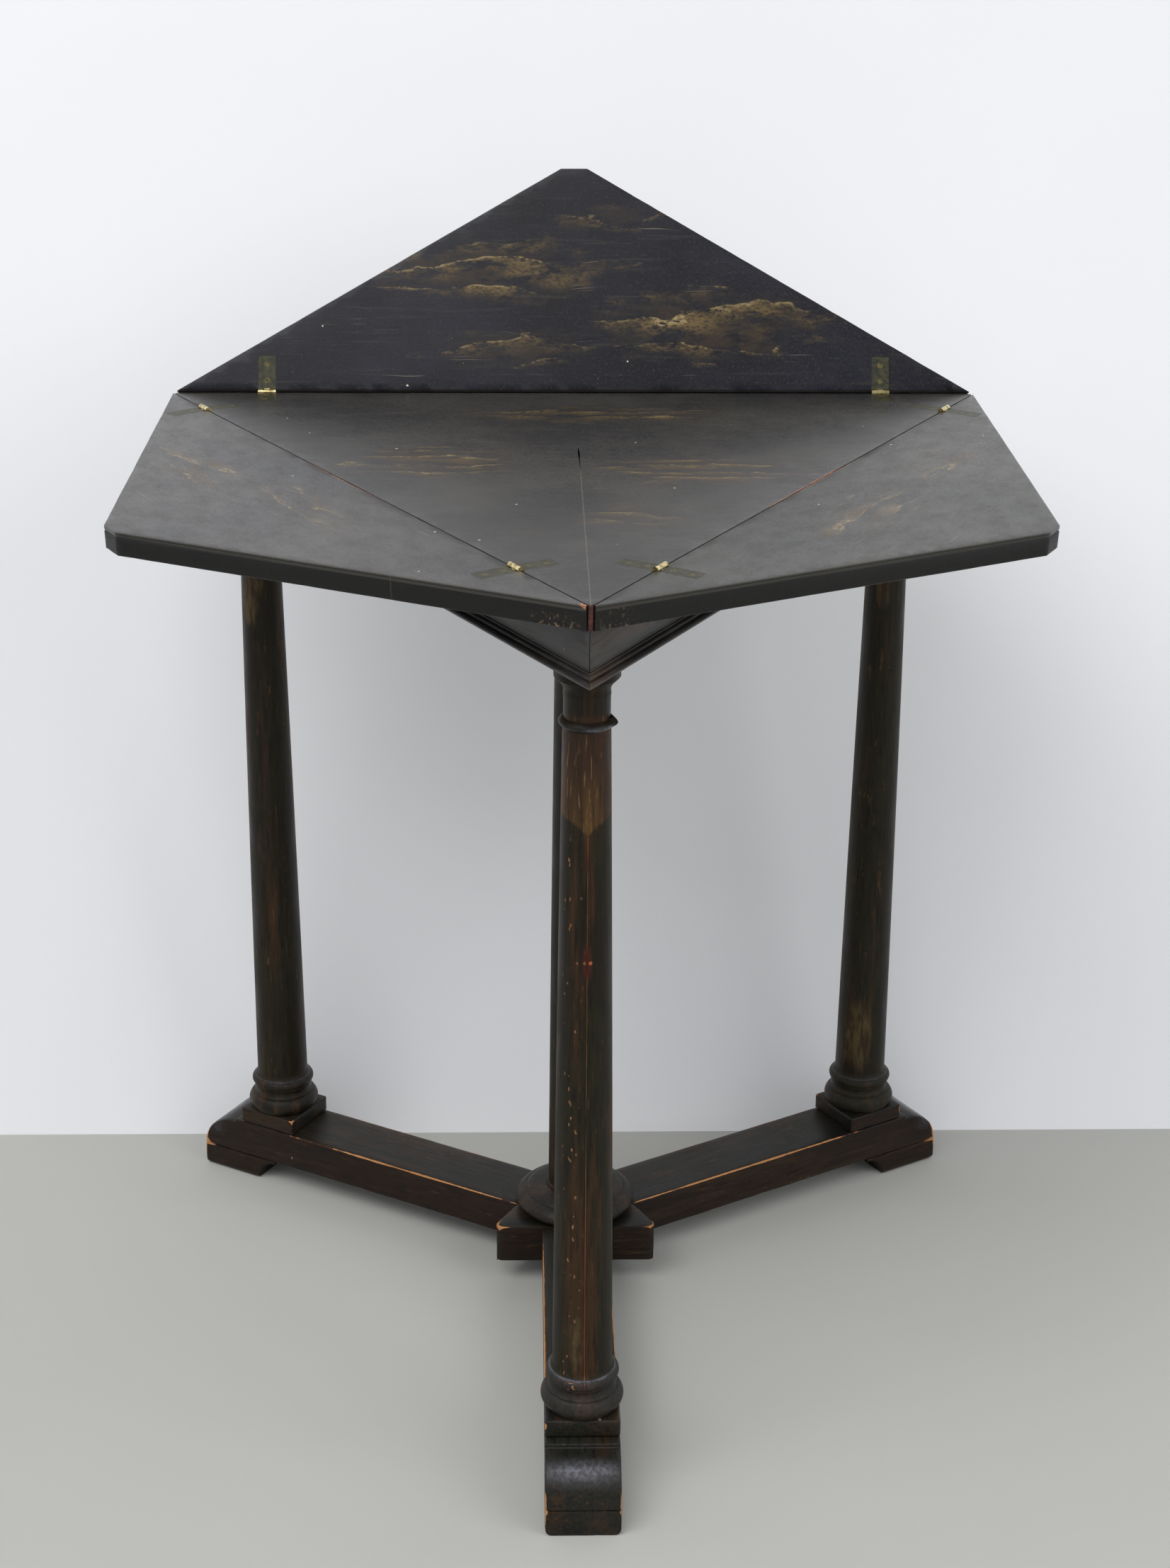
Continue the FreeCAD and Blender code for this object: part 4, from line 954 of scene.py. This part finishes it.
def turned_profile(bottom, top, base, ring_up, foot, shaft_top):
    """Whole profile: base, hollow, tapering shaft with a little swell, and capital."""
    cove = swell((foot + 2.2, ring_up + 0.4), (foot, ring_up + 7), -0.8, 5)
    shaft = swell((foot, ring_up + 7.5), (shaft_top, top - NECK_DOWN), 0.35, 80)
    return [(0, bottom), *base, *cove, *shaft, *capital_profile(top), (0, top)]


def spin_profile(name, profile, steps):
    """Draw a profile in the plane of X and Z, in millimetres, and spin it round the axis."""
    piece = draw_chain(name, [Vector((out, 0, up)) * MM for out, up in profile], closed=False)
    spin_up(steps)
    return piece


def profile_arrises(profile):
    """Distance in the profile's own plane replaces the distance to an edge on turned work."""
    sharp = []
    for before, here, after in zip(profile, profile[1:], profile[2:]):
        one = atan2(here[1] - before[1], here[0] - before[0])
        two = atan2(after[1] - here[1], after[0] - here[0])
        bent = (two - one + pi) % (2 * pi) - pi
        if bent > radians(30):
            sharp.append(here)
    return sharp


# %% Spin, check and place a leg
SPIN_STEPS = 120
CHECK_SINK = 0.955


def wear_turning(piece, profile, axis, seed, rubs, moulded, film=0.0, rim=0.0, crack=None, thinned=()):
    """Attributes and slight unevenness of a turned piece that still stands on the origin.

    Moulded is how high the base mouldings reach, film how grey they are and rim how strong the painted
    highlight along their top edge is.
    """
    spots = points_of(piece)
    out = np.hypot(spots[:, 0], spots[:, 1]) / MM
    up = spots[:, 2] / MM
    distances = np.full(len(spots), FAR)
    for sharp_out, sharp_up in profile_arrises(profile):
        distances = np.minimum(distances, np.hypot(out - sharp_out, up - sharp_up))
    split = np.full(len(spots), FAR)
    nicked = np.zeros(len(spots))
    turn = np.full(len(spots), FAR)
    if crack:
        angle, low, high = crack
        around = np.arctan2(spots[:, 1], spots[:, 0]) - radians(angle)
        across = ((around + pi) % (2 * pi) - pi) * out
        turn = np.abs(across)
        split = np.where((up > low) & (up < high), turn, FAR)
        nicked = np.clip(1.5 - np.abs(across + 12) / 7, 0, 1) * np.clip((high - up) / 20, 0, 1)
    # Painted highlight along the top edge of the base mouldings.
    edge = rim * np.clip(1.5 - np.abs(up - moulded) / 0.8, 0, 1)
    keep_values(piece, arris=distances, rubbed=rubbed(spots, rubs), thinned=rubbed(spots, thinned),
                polish=np.maximum(edge, film * (up < moulded)), split=split, turn=turn, nicked=nicked,
                bench=spots + np.array((seed * 0.37, seed * 0.71, 0)))
    ease_arrises(piece, distances, 0.35 * MM, 2.0, seed)
    place(piece, Matrix.Translation(axis))


def open_check(piece, angle, low, high):
    """Press one line of points inward to make a drying check in the shaft."""
    aim = radians(angle)
    open_edit(piece)
    pick_points(piece, lambda spot: low * MM < spot.z < high * MM and pi / SPIN_STEPS > abs(
        (atan2(spot.y, spot.x) - aim + pi) % (2 * pi) - pi))
    bpy.ops.transform.resize(value=(CHECK_SINK, CHECK_SINK, 1), center_override=(0, 0, 0))
    close_edit()


leg_bottom = LEG_BOTTOM / MM
leg_top = FRAME_BOTTOM / MM
leg_base, ring_up = base_profile(leg_bottom, 32, 15, 3.5, 28.3)
leg_profile = turned_profile(leg_bottom, leg_top, leg_base, ring_up, 23, 17)
plain_leg = spin_profile("leg", leg_profile, SPIN_STEPS)
STEP_ANGLE = 360 / SPIN_STEPS
CHECK = (STEP_ANGLE - 90, 100, 552)
LEG_SPOTS = [((-10 * MM, -26 * MM, 101 * MM), (8, 6, 5), 0.55)]
LEG_THIN = {
    "front": [((-0.006, -0.024, 0.140), (16, 16, 60), 0.9)],
    "left": [((-0.010, -0.015, 0.572), (14, 16, 42), 1.3), ((-0.004, -0.018, 0.605), (24, 24, 60), 0.9),
             ((-0.008, -0.016, 0.340), (14, 14, 70), 0.7)],
    "right": [((-0.006, -0.020, 0.148), (30, 24, 70), 1.0), ((-0.004, -0.018, 0.590), (22, 20, 50), 0.8)],
}
for seed, (leg_name, angle) in enumerate(LEG_ANGLES.items(), start=FRONT_SEED):
    leg = copy_of(plain_leg, "turned_leg_" + leg_name)
    is_front = leg_name == "front"
    if is_front:
        open_check(leg, *CHECK)
    wear_turning(leg, leg_profile, polar(angle, LEG_OUT), seed, LEG_SPOTS if is_front else [],
                 ring_up, *((0.27, 0.75, CHECK) if is_front else (0.1, 0.4, None)), LEG_THIN[leg_name])
    settle(leg, "leg_" + leg_name, "stained_turnings", "stained_front_leg" if is_front else None)
bpy.data.objects.remove(plain_leg)

# %% Centre column
column_bottom = ARM_TOP / MM
column_high = column_top / MM
torus_top = column_bottom + 16
dome = [(25 + 18 * cos(radians(turn)), torus_top + 5.5 * sin(radians(turn)))
        for turn in range(0, 91, 15)]
column_shaft = swell((23.2, torus_top + 7.8), (18, column_high - NECK_DOWN), 0.3, 40)
column_profile = [(0, column_bottom), *swell((45, column_bottom), (45, torus_top), 7, 12), *dome,
                  (25, torus_top + 7.2), *column_shaft, *capital_profile(column_high), (0, column_high)]
rim_chip = [(polar(-40, 50 * MM, 0, (column_bottom + 8) * MM), (13, 13, 8), 0.55)]
column = spin_profile("turned_column", column_profile, SPIN_STEPS)
wear_turning(column, column_profile, Vector((0, 0, 0)), 17, rim_chip, torus_top + 5.6, 0.22)
settle(column, "centre_column", "stained_turnings")

# %% [markdown]
# ## Necking rings
# A thin half-round strip is bent round each neck and pinned. The one on the front leg has let go
# at its end, which now stands off the leg. It is spun through a little less than a full turn, and
# its last stretch is moved outward point by point.

# %% Rings round the necks
RING_RISE = 3.2
RING_UP = 7.0
END_ANGLE = -24


def necking(name, node, top, axis, seed, gap, loose):
    """Half-round ring; gap is the angle left open and loose how far the end stands off."""
    low = top - NECK_DOWN
    near, out = NECK + 0.1, NECK + 0.7
    outline = [(near, low + 0.1), *swell((out, low + 0.1), (out, low + RING_UP), RING_RISE - 0.5, 8),
               (near, low + RING_UP)]
    ring = draw_chain(name, [Vector((out, 0, up)) * MM for out, up in outline])
    spin_up(96, 360 - gap)
    for corner in ring.data.vertices:
        turn = degrees(atan2(corner.co.y, corner.co.x)) % 360
        lift = max(0.0, 1 - turn / 38) ** 2 if loose else 0.0
        wave = noise.noise(polar(turn, 1.0, 0, seed))
        corner.co.z += (wave * 0.5 + lift * 2.0) * MM
        corner.co.xy *= 1 + lift * loose
    spots = points_of(ring)
    out = np.hypot(spots[:, 0], spots[:, 1]) / MM
    worn = np.array([max(noise.noise(Vector(spot) * 60 + Vector((seed, 0, 0))), 0) for spot in spots])
    # The lower half of the ring gets a patchy painted highlight through polish, where the worn noise is
    # high.
    lower_half = np.clip(1.3 - np.abs(spots[:, 2] / MM - low - 2) / 2.5, 0, 1)
    keep_values(ring, arris=21.4 - np.minimum(out, 19.9), rubbed=0.6 * worn, bench=spots + seed,
                polish=lower_half * (0.35 + 2 * worn))
    place(ring, Matrix.Translation(axis) @ turn_z(END_ANGLE))
    settle(ring, node, "stained_turnings")


for seed, (leg_name, angle) in enumerate(LEG_ANGLES.items(), start=21):
    front = leg_name == "front"
    necking("necking_" + leg_name, "neck_ring_" + leg_name, leg_top, polar(angle, LEG_OUT), seed,
            5 if front else 1.5, 0.17 if front else 0)
necking("necking_centre", "neck_ring_centre", column_high, Vector((0, 0, 0)), 25, 1.5, 0)

# %% [markdown]
# ## Frame under the top
# Three rails are mitred into a triangle and stand on three lengths of moulding. A rail is drawn
# from above as the mitred shape that it is. The moulding is drawn as its section, run out longer
# than needed and cut off at both mitres with the bisect tool, as a mitre saw would.

# %% Rails and mouldings
MITRE = tan(radians(60))
rail_in = RAIL_OUT - RAIL_THICKNESS


def mitre_ends():
    """Cut both ends on the planes through the frame's corners."""
    for sign in (-1, 1):
        edit.select_all(action="SELECT")
        edit.bisect(plane_co=(0, 0, 0), plane_no=(sign * 0.5, -cos(radians(30)), 0),
                            use_fill=True, clear_outer=True)


def moulding_section():
    """Groove, small bead, quirk and large roll, as (out, up) in millimetres from the rail."""
    high = (RAIL_BOTTOM - FRAME_BOTTOM) / MM
    roll = (MOULDING_OUT - RAIL_OUT) / MM
    back = -RAIL_THICKNESS / MM
    return [(back, 0), (roll - 2.4, 0), *swell((roll - 1.9, 0.2), (roll - 1.8, 4.5), 1.8, 10),
            (1, 4.6), (1, 6.1), *swell((2, 6.2), (2, 8.4), 1, 6), (0.4, 8.5), (0.4, high), (back, high)]


for seed, (side_name, angle) in enumerate(SIDE_ANGLES.items(), start=31):
    plan = [Vector((end * out * MITRE, out, RAIL_BOTTOM))
            for end, out in ((-1, rail_in), (1, rail_in), (1, RAIL_OUT), (-1, RAIL_OUT))]
    rail = raise_outline("worn_rail_" + side_name, plan, (0, 0, RAIL_TOP - RAIL_BOTTOM))
    rail_arrises = crisp_edges(rail)
    bevel(rail, 0.5 * MM, 2)
    slice_up(rail, 9 * MM, (0,))
    lay_on_bench(rail, rail_arrises, 0.3 * MM, 1.5, seed)
    from_mitre = RAIL_OUT * MITRE - np.abs(points_of(rail)[:, 0])
    keep_values(rail, joint=np.clip(1 - from_mitre / (6 * MM), 0, 1))
    place(rail, turn_z(angle - 90))
    settle(rail, "frame_rail_" + side_name, "stained_frame")
    reach = MOULDING_OUT * MITRE
    section = [Vector((-reach, RAIL_OUT + out * MM, FRAME_BOTTOM + up * MM))
               for out, up in moulding_section()]
    moulding = raise_outline("worn_moulding_" + side_name, section, (2 * reach, 0, 0))
    mitre_ends()
    moulding_arrises = crisp_edges(moulding, 50)
    slice_up(moulding, 9 * MM, (0,))
    lay_on_bench(moulding, moulding_arrises, 0.25 * MM, 1.2, seed)
    place(moulding, turn_z(angle - 90))
    settle(moulding, "frame_moulding_" + side_name, "stained_frame")

# %% [markdown]
# ## Top board
# The top is a triangle with blunt corners. A split runs from its middle to the front corner: open
# for a finger's length, then a hairline. It is cut as a joiner would measure it, with a long thin
# wedge. The hinges' plates lie in shallow recesses, with a deeper notch at the seam for each knuckle.

# %% Outline of the top
CORNER_FLAT = 4.4 * MM
SNUG = 0.12 * MM
face_out = top_high.y + SNUG
corner_out = HALF_SIDE / cos(radians(30)) - CORNER_FLAT / 2 / tan(radians(30))
face_end = (corner_out - face_out * sin(radians(30))) / cos(radians(30))
outline = [polar(angle, face_out, side * face_end, top_low.z)
           for angle in sorted(SIDE_ANGLES.values()) for side in (-1, 1)]
top = raise_outline("lacquered_top", outline, (0, 0, BOARD))
top_arrises = crisp_edges(top)
bevel(top, 0.3 * MM)
print("top:", len(top_arrises), "arrises, corners", round(corner_out, 4), "out")

# %% Recesses for the hinges
FIT = 0.1 * MM
SPARE = 5 * MM
NOTCH_HALF = HINGE_WIDTH / 2 + 0.5 * MM
RECESS_HALF = HINGE_WIDTH / 2 + FIT


def seam_frame(side, tilt=0.0):
    """Frame of a hinge: X along the seam, Y away from the top, Z up, opened up by tilt degrees."""
    angle = SIDE_ANGLES[side]
    origin = polar(angle, SEAM_OUT, 0, TOP_HEIGHT + HINGE_RISE)
    return Matrix.Translation(origin) @ turn_z(angle - 90) @ Matrix.Rotation(radians(tilt), 4, "X")


def hinge_places(side):
    """Where the hinges stand along a seam, from the boxes of their plates."""
    boxes = [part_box(f"hinge_top_plate_{side}_{end}") for end in "ab"]
    return [polar(SIDE_ANGLES[side] - 90, 1.0).dot((low + high) / 2) for low, high in boxes]


def cut_hinge_seats(board, side, way, matrix):
    """Way is 1 on a leaf and -1 on the top: the side of the seam that the board lies on."""
    plate = (RECESS_HALF, NOTCH - SPARE, HINGE_REACH + FIT, PLATE_DEPTH)
    knuckle = (NOTCH_HALF, -SPARE, NOTCH, NOTCH)
    for along in hinge_places(side):
        for half_width, near, far, down in (plate, knuckle):
            spans = sorted((way * near, way * far))
            cut_away(board, box_cutter(Vector((along - half_width, spans[0], -HINGE_RISE - down)),
                                       Vector((along + half_width, spans[1], SPARE)), matrix))


for side_name in SIDE_ANGLES:
    cut_hinge_seats(top, side_name, -1, seam_frame(side_name))
    print("hinges", side_name, [round(along, 3) for along in hinge_places(side_name)])

# %% The split in the top
split_course = [(9.0, 0.1), (4.0, 0.5), (-8.0, 0.75), (-24.0, 0.55), (-46.0, 0.25), (-62.0, 0.1)]


def split_line(across, sign):
    """One lip of the split: it wanders a little as it runs with the grain."""
    lips = []
    for along, half_gap in across:
        drift = noise.noise(Vector((along * 0.03, 0.5, 2.0))) * 0.8
        lips.append(Vector(((drift + sign * half_gap) * MM, along * MM, TOP_HEIGHT - 5 * MM)))
    return lips


wedge_outline = split_line(split_course, -1) + split_line(split_course[::-1], 1)
wedge = raise_outline("wedge", wedge_outline, (0, 0, 10 * MM))
cut_away(top, wedge)
slice_up(top, 8 * MM, (0, 1))
top_rubs = [(polar(SIDE_ANGLES["right"], SEAM_OUT, side, TOP_HEIGHT), (40, 40, 8), 0.6)
            for side in (-0.05, -0.02, 0.01, 0.04)]
top_rubs += [(Vector((0, -corner_out, TOP_HEIGHT - BOARD / 2)), (5, 4, 26), 0.20)]
lay_on_bench(top, top_arrises, 0.3 * MM, 1.6, 41, top_rubs, shift=(0, 0, 0))
spots = points_of(top)
faces_out = [spots @ np.array(polar(angle, 1.0)) for angle in SIDE_ANGLES.values()]
keep_values(top, seam=4 * (face_out - np.maximum.reduce(faces_out)) / MM,
            joint=1.0 * (spots[:, 1] < 0.6 * MM - corner_out))
settle(top, "top_board", "lacquered_boards")

# %% [markdown]
# ## Leaves
# A leaf is a low triangle with a clipped tip, and the three are the same but for their hinges. Each
# is modelled flat in its hinge's frame, with a scribed line under the top arris of its outer edges,
# and is then tilted to its place: the side leaves sag a little, and the rear one leans back.

# %% Three leaves
LEAF_GAP = 1.2 * MM
TIP_FLAT = 22.5 * MM
SCRIBE_DOWN = 4.0 * MM
SCRIBE_DEPTH = 0.7 * MM
THIRTY = radians(30)
leaf_drop = LEAF_GAP / 2 / cos(THIRTY)
leaf_near = SEAM_GAP / 2 - SNUG
base_end = HALF_SIDE - (SEAM_GAP / 2 + leaf_drop) / tan(THIRTY)
tip_out = (HALF_SIDE - TIP_FLAT / 2) * tan(THIRTY) - leaf_drop
leaf_top = -HINGE_RISE
leaf_half = [(base_end - 1.8 * MM, leaf_near), (base_end - 1.2 * MM, leaf_near + 0.7 * MM),
             (TIP_FLAT / 2, tip_out)]
leaf_outline = [Vector((-along, out, leaf_top - BOARD)) for along, out in leaf_half[::-1]]
leaf_outline += [Vector((along, out, leaf_top - BOARD)) for along, out in leaf_half]


def undercut_seam(leaf):
    """Plane the hinged edge back underneath, so that a sagging leaf clears the top."""
    pick_points(leaf, lambda spot: spot.y < leaf_near + 0.1 * MM and spot.z < leaf_top - BOARD / 2)
    bpy.ops.transform.translate(value=(0, 0.2 * MM, 0))


def scribe_edges(leaf):
    """Press a fine line into the outer edges, a little below the top."""
    line = leaf_top - SCRIBE_DOWN
    for lift in (-0.9, 0.0, 0.9):
        edit.select_all(action="SELECT")
        edit.bisect(plane_co=(0, 0, line + lift * MM), plane_no=(0, 0, 1))
    pick_points(leaf, lambda spot: abs(spot.z - line) < 0.05 * MM and spot.y > leaf_near + 2 * MM)
    bpy.ops.transform.shrink_fatten(value=-SCRIBE_DEPTH)
    edit.select_all(action="DESELECT")


LEAF_RUBS = {
    "left": [((-base_end, leaf_near, leaf_top - BOARD / 2), (10, 6, 14), 0.45),
             ((2 * MM - base_end, leaf_near, leaf_top), (9, 4, 5), 1.3),
             ((0.02, leaf_near, leaf_top), (140, 5, 3), 0.65)],
    "right": [((base_end, leaf_near, leaf_top - BOARD / 2), (8, 6, 12), 0.4),
              ((-0.02, leaf_near, leaf_top), (100, 6, 4), 0.75)],
    "rear": [((0, tip_out, leaf_top), (30, 6, 6), 0.2)],
}
LEAF_SCUFFS = {
    "left": [((22 * MM - base_end, 13 * MM, leaf_top - 16 * MM), (24, 18, 11), 1.4)],
    "right": [((base_end - 18 * MM, 11 * MM, leaf_top - 13 * MM), (16, 14, 11), 1.1)],
    "rear": [],
}
for seed, side_name in enumerate(SIDE_ANGLES, start=51):
    leaf = raise_outline("lacquered_leaf_" + side_name, leaf_outline, (0, 0, BOARD))
    undercut_seam(leaf)
    leaf_arrises = crisp_edges(leaf)
    bevel(leaf, 1.1 * MM, 3, lambda spot: spot.y > leaf_near + 2 * MM)
    bevel(leaf, 0.25 * MM, 2, lambda spot: spot.y < leaf_near + MM)
    scribe_edges(leaf)
    cut_hinge_seats(leaf, side_name, 1, Matrix.Identity(4))
    slice_up(leaf, 8 * MM, (0, 1))
    lay_on_bench(leaf, leaf_arrises, 0.35 * MM, 1.8, seed, LEAF_RUBS[side_name], (0, 0, 0),
                 LEAF_SCUFFS[side_name])
    keep_values(leaf, seam=(points_of(leaf)[:, 1] - leaf_near) / MM)
    place(leaf, seam_frame(side_name, SAG[side_name]))
    settle(leaf, "leaf_" + side_name, "lacquered_boards", "lacquer_" + side_name)

# %% [markdown]
# ## Stage, light and camera
# The table stands on a pale floor in front of a pale sheet, which slopes back enough for the top
# and its leaves to turn and open in front of it. The sheet shows only from its front, so the table
# can be seen from behind too. Two broad lamps and an even sky give the soft light of a plain room.

# %% Floor and sheet
STAGE = 6.0
MIRRORED_GLOW = 0.40


def pale(name, shade, tint, glow=0.0, see_through=False):
    """Pale matt finish; glow is how much of its own colour it shows the camera whatever the light."""
    tree, shader = start_finish(name)
    tone = mix(clouds(add(tree, "ShaderNodeTexCoord", output="Object"), 1.3, 4.0, 0.55), shade, tint)
    feed(shader, "Base Color", tone)
    shader.inputs["Roughness"].default_value = 0.9
    shader.inputs["Specular IOR Level"].default_value = 0.1
    if glow:
        seen = add(tree, "ShaderNodeLightPath")
        mirrored = seen.output("Is Glossy Ray") * MIRRORED_GLOW
        feed(shader, "Emission Color", tone)
        feed(shader, "Emission Strength", seen.output("Is Camera Ray") * glow + mirrored)
    if see_through:
        back = add(tree, "ShaderNodeNewGeometry", output="Backfacing")
        set_surface(tree, back, Wire(shader.outputs[0]), add(tree, "ShaderNodeBsdfTransparent"))
    return finishes[name]


select_none()
edit.primitive_plane_add(size=8 * STAGE, location=(0, 0, 0))
floor = bpy.context.object
floor.name = "floor"
floor.data.materials.append(pale("pale_floor", (180, 180, 175), (192, 192, 186)))

SHEET_FOOT = 0.222
SHEET_SLOPE = 0.30
SHEET_HEIGHT = 4.0
SHEET_STEPS = 24
sheet_line = [Vector((-STAGE, SHEET_FOOT, 0))]
for number in range(SHEET_STEPS):
    rise = SHEET_HEIGHT / SHEET_STEPS
    lean = SHEET_SLOPE * min(1, max(0, (2.4 - sheet_line[-1].z) / 1.6)) ** 2
    sheet_line.append(sheet_line[-1] + Vector((0, lean * rise, rise)))
sheet = draw_chain("backdrop", sheet_line, closed=False)
edit.extrude_region_move(TRANSFORM_OT_translate={"value": Vector((2 * STAGE, 0, 0))})
close_edit()
shape = bmesh.new()
shape.from_mesh(sheet.data)
for face in shape.faces:
    if face.normal.y > 0:
        face.normal_flip()
shape.to_mesh(sheet.data)
shape.free()
select_only(sheet)
bpy.ops.object.shade_smooth()
sheet.data.materials.append(pale("pale_sheet", (222, 223, 226), (232, 232, 234), 0.12, see_through=True))
print("stage:", floor.name, "and", sheet.name, len(sheet_line), "points high")

# %% Lamps and sky


def lamp(name, place_at, aim, size, power):
    light = bpy.data.lights.new(name, "AREA")
    light.shape = "RECTANGLE"
    light.size, light.size_y = size
    light.energy = power
    holder = bpy.data.objects.new(name, light)
    bpy.context.scene.collection.objects.link(holder)
    holder.location = place_at
    holder.rotation_euler = (Vector(aim) - Vector(place_at)).to_track_quat("-Z", "Y").to_euler()


lamp("broad_lamp", (-1.0, -1.6, 2.95), (0, 0, 0.5), (2.6, 2.0), 62)
lamp("fill_lamp", (2.2, -1.6, 1.9), (0.3, 0.1, 0.6), (1.8, 1.8), 22)
sky = bpy.data.worlds.new("sky")
sky.use_nodes = True
bpy.context.scene.world = sky
background = sky.node_tree.nodes["Background"]
background.inputs["Color"].default_value = (0.93, 0.96, 1.0, 1.0)
seen = add(sky.node_tree, "ShaderNodeLightPath", output="Is Camera Ray")
feed(background, "Strength", seen * 0.45 + seen.output("Is Glossy Ray") * -0.15 + 0.55)
print("lamps:", [light.name for light in bpy.data.lights])

# %% Camera of the photograph
CAMERA_PLACE = Vector((-40.15, -1928.99, 1234.65)) * MM
CAMERA_YAW = 1.389
CAMERA_DOWN = 21.95
CAMERA_ROLL = 0.4065
PICTURE_HEIGHT = 2214
FOCAL_PIXELS = 3540.04
SENSOR = 36.0

lens = bpy.data.cameras.new("camera")
lens.sensor_width = SENSOR
lens.lens = SENSOR * FOCAL_PIXELS / PICTURE_HEIGHT
camera = bpy.data.objects.new("camera", lens)
bpy.context.scene.collection.objects.link(camera)
tilt = Matrix.Rotation(radians(90 - CAMERA_DOWN), 4, "X")
camera.matrix_world = Matrix.Translation(CAMERA_PLACE) @ turn_z(-CAMERA_YAW) @ tilt @ turn_z(CAMERA_ROLL)
bpy.context.scene.camera = camera
bpy.context.scene.view_settings.view_transform = "Standard"
print("lens:", round(lens.lens, 2), "mm")
